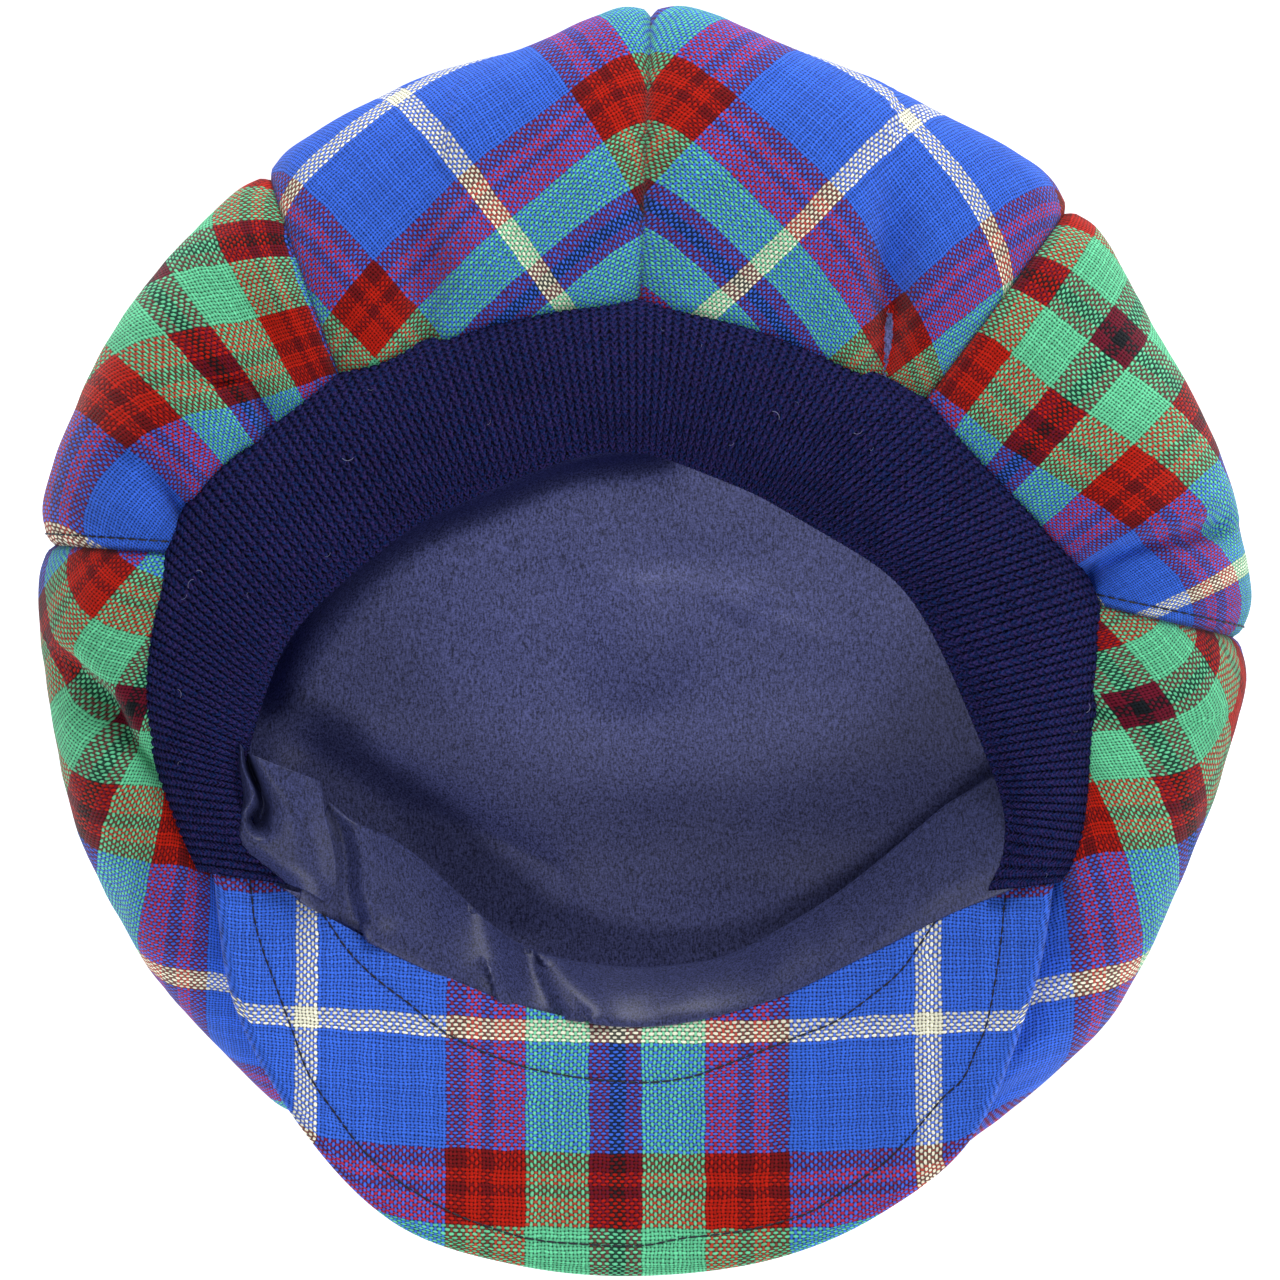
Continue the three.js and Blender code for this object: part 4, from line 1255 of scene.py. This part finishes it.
class CAP_OT_peak(bpy.types.Operator):
    """Make the cloth-covered peak and its rows of stitching"""

    bl_idname = "cap.peak"
    bl_label = "Peak"

    def execute(self, context):
        share = crowded(PEAK_COLUMNS, PEAK_CROWDING)
        inner, outer = batten(PEAK_INNER, share), batten(PEAK_OUTER, share)
        radius = BOARD / 2
        out = (outer - inner) / np.linalg.norm(outer - inner, axis=-1, keepdims=True)
        inset = outer - out * radius
        plan = inner[:, None] + (inset - inner)[:, None] * np.linspace(0, 1, PEAK_ROWS)[:, None]
        x, y = plan[..., 0], plan[..., 1]
        thin = smoothstep(np.minimum(share, 1 - share)[:, None], 0, PEAK_TAPER)
        sunk = STITCH_PULL * near_rows(x, y, [PEAK_INNER_ROW, PEAK_OUTER_ROW], STITCH_REACH)
        sunk = sunk + (1 - thin) * radius
        upper = peak_point(x, y, sunk - sum(humps(point3(plan, 0 * x), PEAK_HUMPS)))
        lower = peak_point(x, y, BOARD - sunk)[:, ::-1]
        bends = np.linspace(0, math.pi, 9)[1:-1]
        rim = inset[:, None] + out[:, None] * (np.sin(bends) * radius)[:, None]
        rim_x, rim_y = rim[..., 0], rim[..., 1]
        middle = peak_point(rim_x, rim_y, radius)
        edge = middle + (peak_point(rim_x, rim_y, 0) - middle) * (np.cos(bends) * thin)[..., None]
        flat = peak_cloth(x, y)
        wrap = peak_cloth(rim_x, rim_y)
        wrap[..., 1] += bends * radius
        turned = flat[:, ::-1] + (0, PEAK_BACK_SHIFT)
        places = np.concatenate([flat, wrap, turned], axis=1).reshape(-1, 2)
        points, faces = tube(np.concatenate([upper, edge, lower], axis=1), True)
        obj = piece("peak_cloth", points, faces, finish(tartan_cloth), places)
        settle(obj, "tartan_cloth", "peak")

        rows = []
        for row in (PEAK_INNER_ROW, PEAK_OUTER_ROW):
            x, y = batten(row, np.linspace(0, 1, ROW_POINTS)).T
            rows.append(peak_point(x, y, STITCH_DEPTH))
        settle(sewn_rows("peak_stitching", rows), "tartan_cloth")
        return {"FINISHED"}


class CAP_OT_strip(bpy.types.Operator):
    """Make the satin strip behind the peak, with its twisted left end"""

    bl_idname = "cap.strip"
    bl_label = "Satin strip"

    def execute(self, context):
        satin = finish(twill_satin, "twill_satin_strip", "strip", 0.45)
        share = np.linspace(STRIP_START, 1, STRIP_COLUMNS)
        x, y = batten(PEAK_INNER, share).T
        sewn = peak_point(x, y, STRIP_SINK)
        free = batten([(*xy, z) for xy, z in STRIP_FREE], share)
        away = (free - sewn) / np.linalg.norm(free - sewn, axis=-1, keepdims=True)
        sewn = sewn - away * STRIP_OVERLAP + (0, 0, STRIP_RISE)
        across = np.linspace(0, 1, STRIP_ROWS)
        sheet = sewn[:, None] + (free - sewn)[:, None] * across[None, :, None]
        plump = np.sin(math.pi * across**STRIP_LEAN)
        sheet[..., 2] += STRIP_PLUMP * plump
        near_end = smoothstep(share, STRIP_END, 1)[:, None]
        sheet[..., 0] += STRIP_END_BULGE * near_end * np.sin(math.pi * across)
        broad, fine = STRIP_HUMPS
        pulled = sum(humps(sheet * (1, 1, 0.3), [broad]) + humps(sheet, [fine]))
        sheet[..., 2] += pulled * plump - crease_depth(STRIP_CREASES, sheet[..., 0], sheet[..., 1])
        strip = piece("front_satin_strip_cloth", *tube(folded_over(sheet, away, STRIP_FOLD)), satin)
        settle(strip, "satin_strip", "front_satin_strip")

        place = np.linspace(0, 1, TWIST_STEPS)
        rows = np.stack([batten(row, place) for row in TWIST])
        skin = np.stack([batten(rows[:, k], place) for k in range(TWIST_STEPS)], axis=1)
        twist = piece("strip_twist_cloth", *shell(skin, skin - (0, 0, TWIST_WALL)), satin)
        settle(twist, "satin_strip")
        return {"FINISHED"}


class CAP_OT_seams(bpy.types.Operator):
    """Sew the rows of topstitching beside the two side seams"""

    bl_idname = "cap.seams"
    bl_label = "Seam stitching"

    def execute(self, context):
        rows = []
        stage = np.linspace(*SIDE_ROW_STAGES, SIDE_ROW_POINTS)
        near = 0.02
        for seam, side in SIDE_SEAMS:
            step = crown_form(seam + side * near + 0 * stage, stage) - crown_form(seam + 0 * stage, stage)
            seat = seam + side * near * SIDE_ROW_OFF / np.linalg.norm(step, axis=-1)
            rows.append(crown_skin(seat, stage, -SIDE_ROW_OUT))
        settle(sewn_rows("side_seam_stitching", rows), "tartan_cloth")
        return {"FINISHED"}


class CAP_OT_stage(bpy.types.Operator):
    """Make the floor, the lights and the camera"""

    bl_idname = "cap.stage"
    bl_label = "Stage"

    def execute(self, context):
        stage = context.scene.cap_stage
        corners = FLOOR_HALF * np.array([(-1, -1, 0), (1, -1, 0), (1, 1, 0), (-1, 1, 0)])
        floor = new_object("floor", corners, [], [(0, 1, 2, 3)])
        floor.data.materials.append(finish(glowing_backdrop))

        world = bpy.data.worlds.new("studio")
        world.use_nodes = True
        back = world.node_tree.nodes["Background"]
        back.inputs["Color"].default_value = (1, 1, 1, 1)
        back.inputs["Strength"].default_value = DAYLIGHT
        context.scene.world = world
        for name, heading, height, size, power in LAMPS:
            turn, tilt = math.radians(heading), math.radians(height)
            way = Vector((math.cos(turn) * math.cos(tilt), math.sin(turn) * math.cos(tilt), math.sin(tilt)))
            light = bpy.data.lights.new(name, "AREA")
            light.size = size
            light.energy = power
            lamp = bpy.data.objects.new(name, light)
            lamp.location = LAMP_DISTANCE * way
            lamp.rotation_euler = (-way).to_track_quat("-Z", "Y").to_euler()
            context.scene.collection.objects.link(lamp)

        camera = bpy.data.cameras.new("camera")
        camera.lens = camera.sensor_width * (stage.distance - VIEW_LEVEL * MM) / stage.view_width
        camera.clip_end = 50
        view = bpy.data.objects.new("camera", camera)
        view.location = (CAMERA_PLACE[0] * MM, CAMERA_PLACE[1] * MM, stage.distance)
        context.scene.collection.objects.link(view)
        context.scene.camera = view
        context.scene.view_settings.view_transform = "Standard"
        return {"FINISHED"}


class CAP_PT_panel(bpy.types.Panel):
    """Lists the pieces of the cap"""

    bl_idname = "CAP_PT_panel"
    bl_label = "Panelled cap"
    bl_space_type = "VIEW_3D"
    bl_region_type = "UI"
    bl_category = "Cap"

    def draw(self, context):
        for group in ("cap_cloth", "cap_knit", "cap_satin", "cap_stitching", "cap_stage"):
            box = self.layout.box()
            settings = getattr(context.scene, group)
            for name in settings.__annotations__:
                box.prop(settings, name)
        for operator in OPERATORS:
            self.layout.operator(operator.bl_idname)


GROUPS = {
    "cap_cloth": CapCloth,
    "cap_knit": CapKnit,
    "cap_satin": CapSatin,
    "cap_stitching": CapStitching,
    "cap_stage": CapStage,
}
OPERATORS = [CAP_OT_stage, CAP_OT_crown, CAP_OT_band, CAP_OT_lining, CAP_OT_peak, CAP_OT_strip, CAP_OT_seams]


def register():
    for cls in (*GROUPS.values(), *OPERATORS, CAP_PT_panel):
        bpy.utils.register_class(cls)
    for name, group in GROUPS.items():
        setattr(bpy.types.Scene, name, bpy.props.PointerProperty(type=group))


def unregister():
    for name in GROUPS:
        delattr(bpy.types.Scene, name)
    for cls in reversed((*GROUPS.values(), *OPERATORS, CAP_PT_panel)):
        bpy.utils.unregister_class(cls)


def main():
    register()
    bpy.ops.cap.stage()
    bpy.ops.cap.crown()
    bpy.ops.cap.band()
    bpy.ops.cap.lining()
    bpy.ops.cap.peak()
    bpy.ops.cap.strip()
    bpy.ops.cap.seams()


if __name__ == "__main__":
    main()
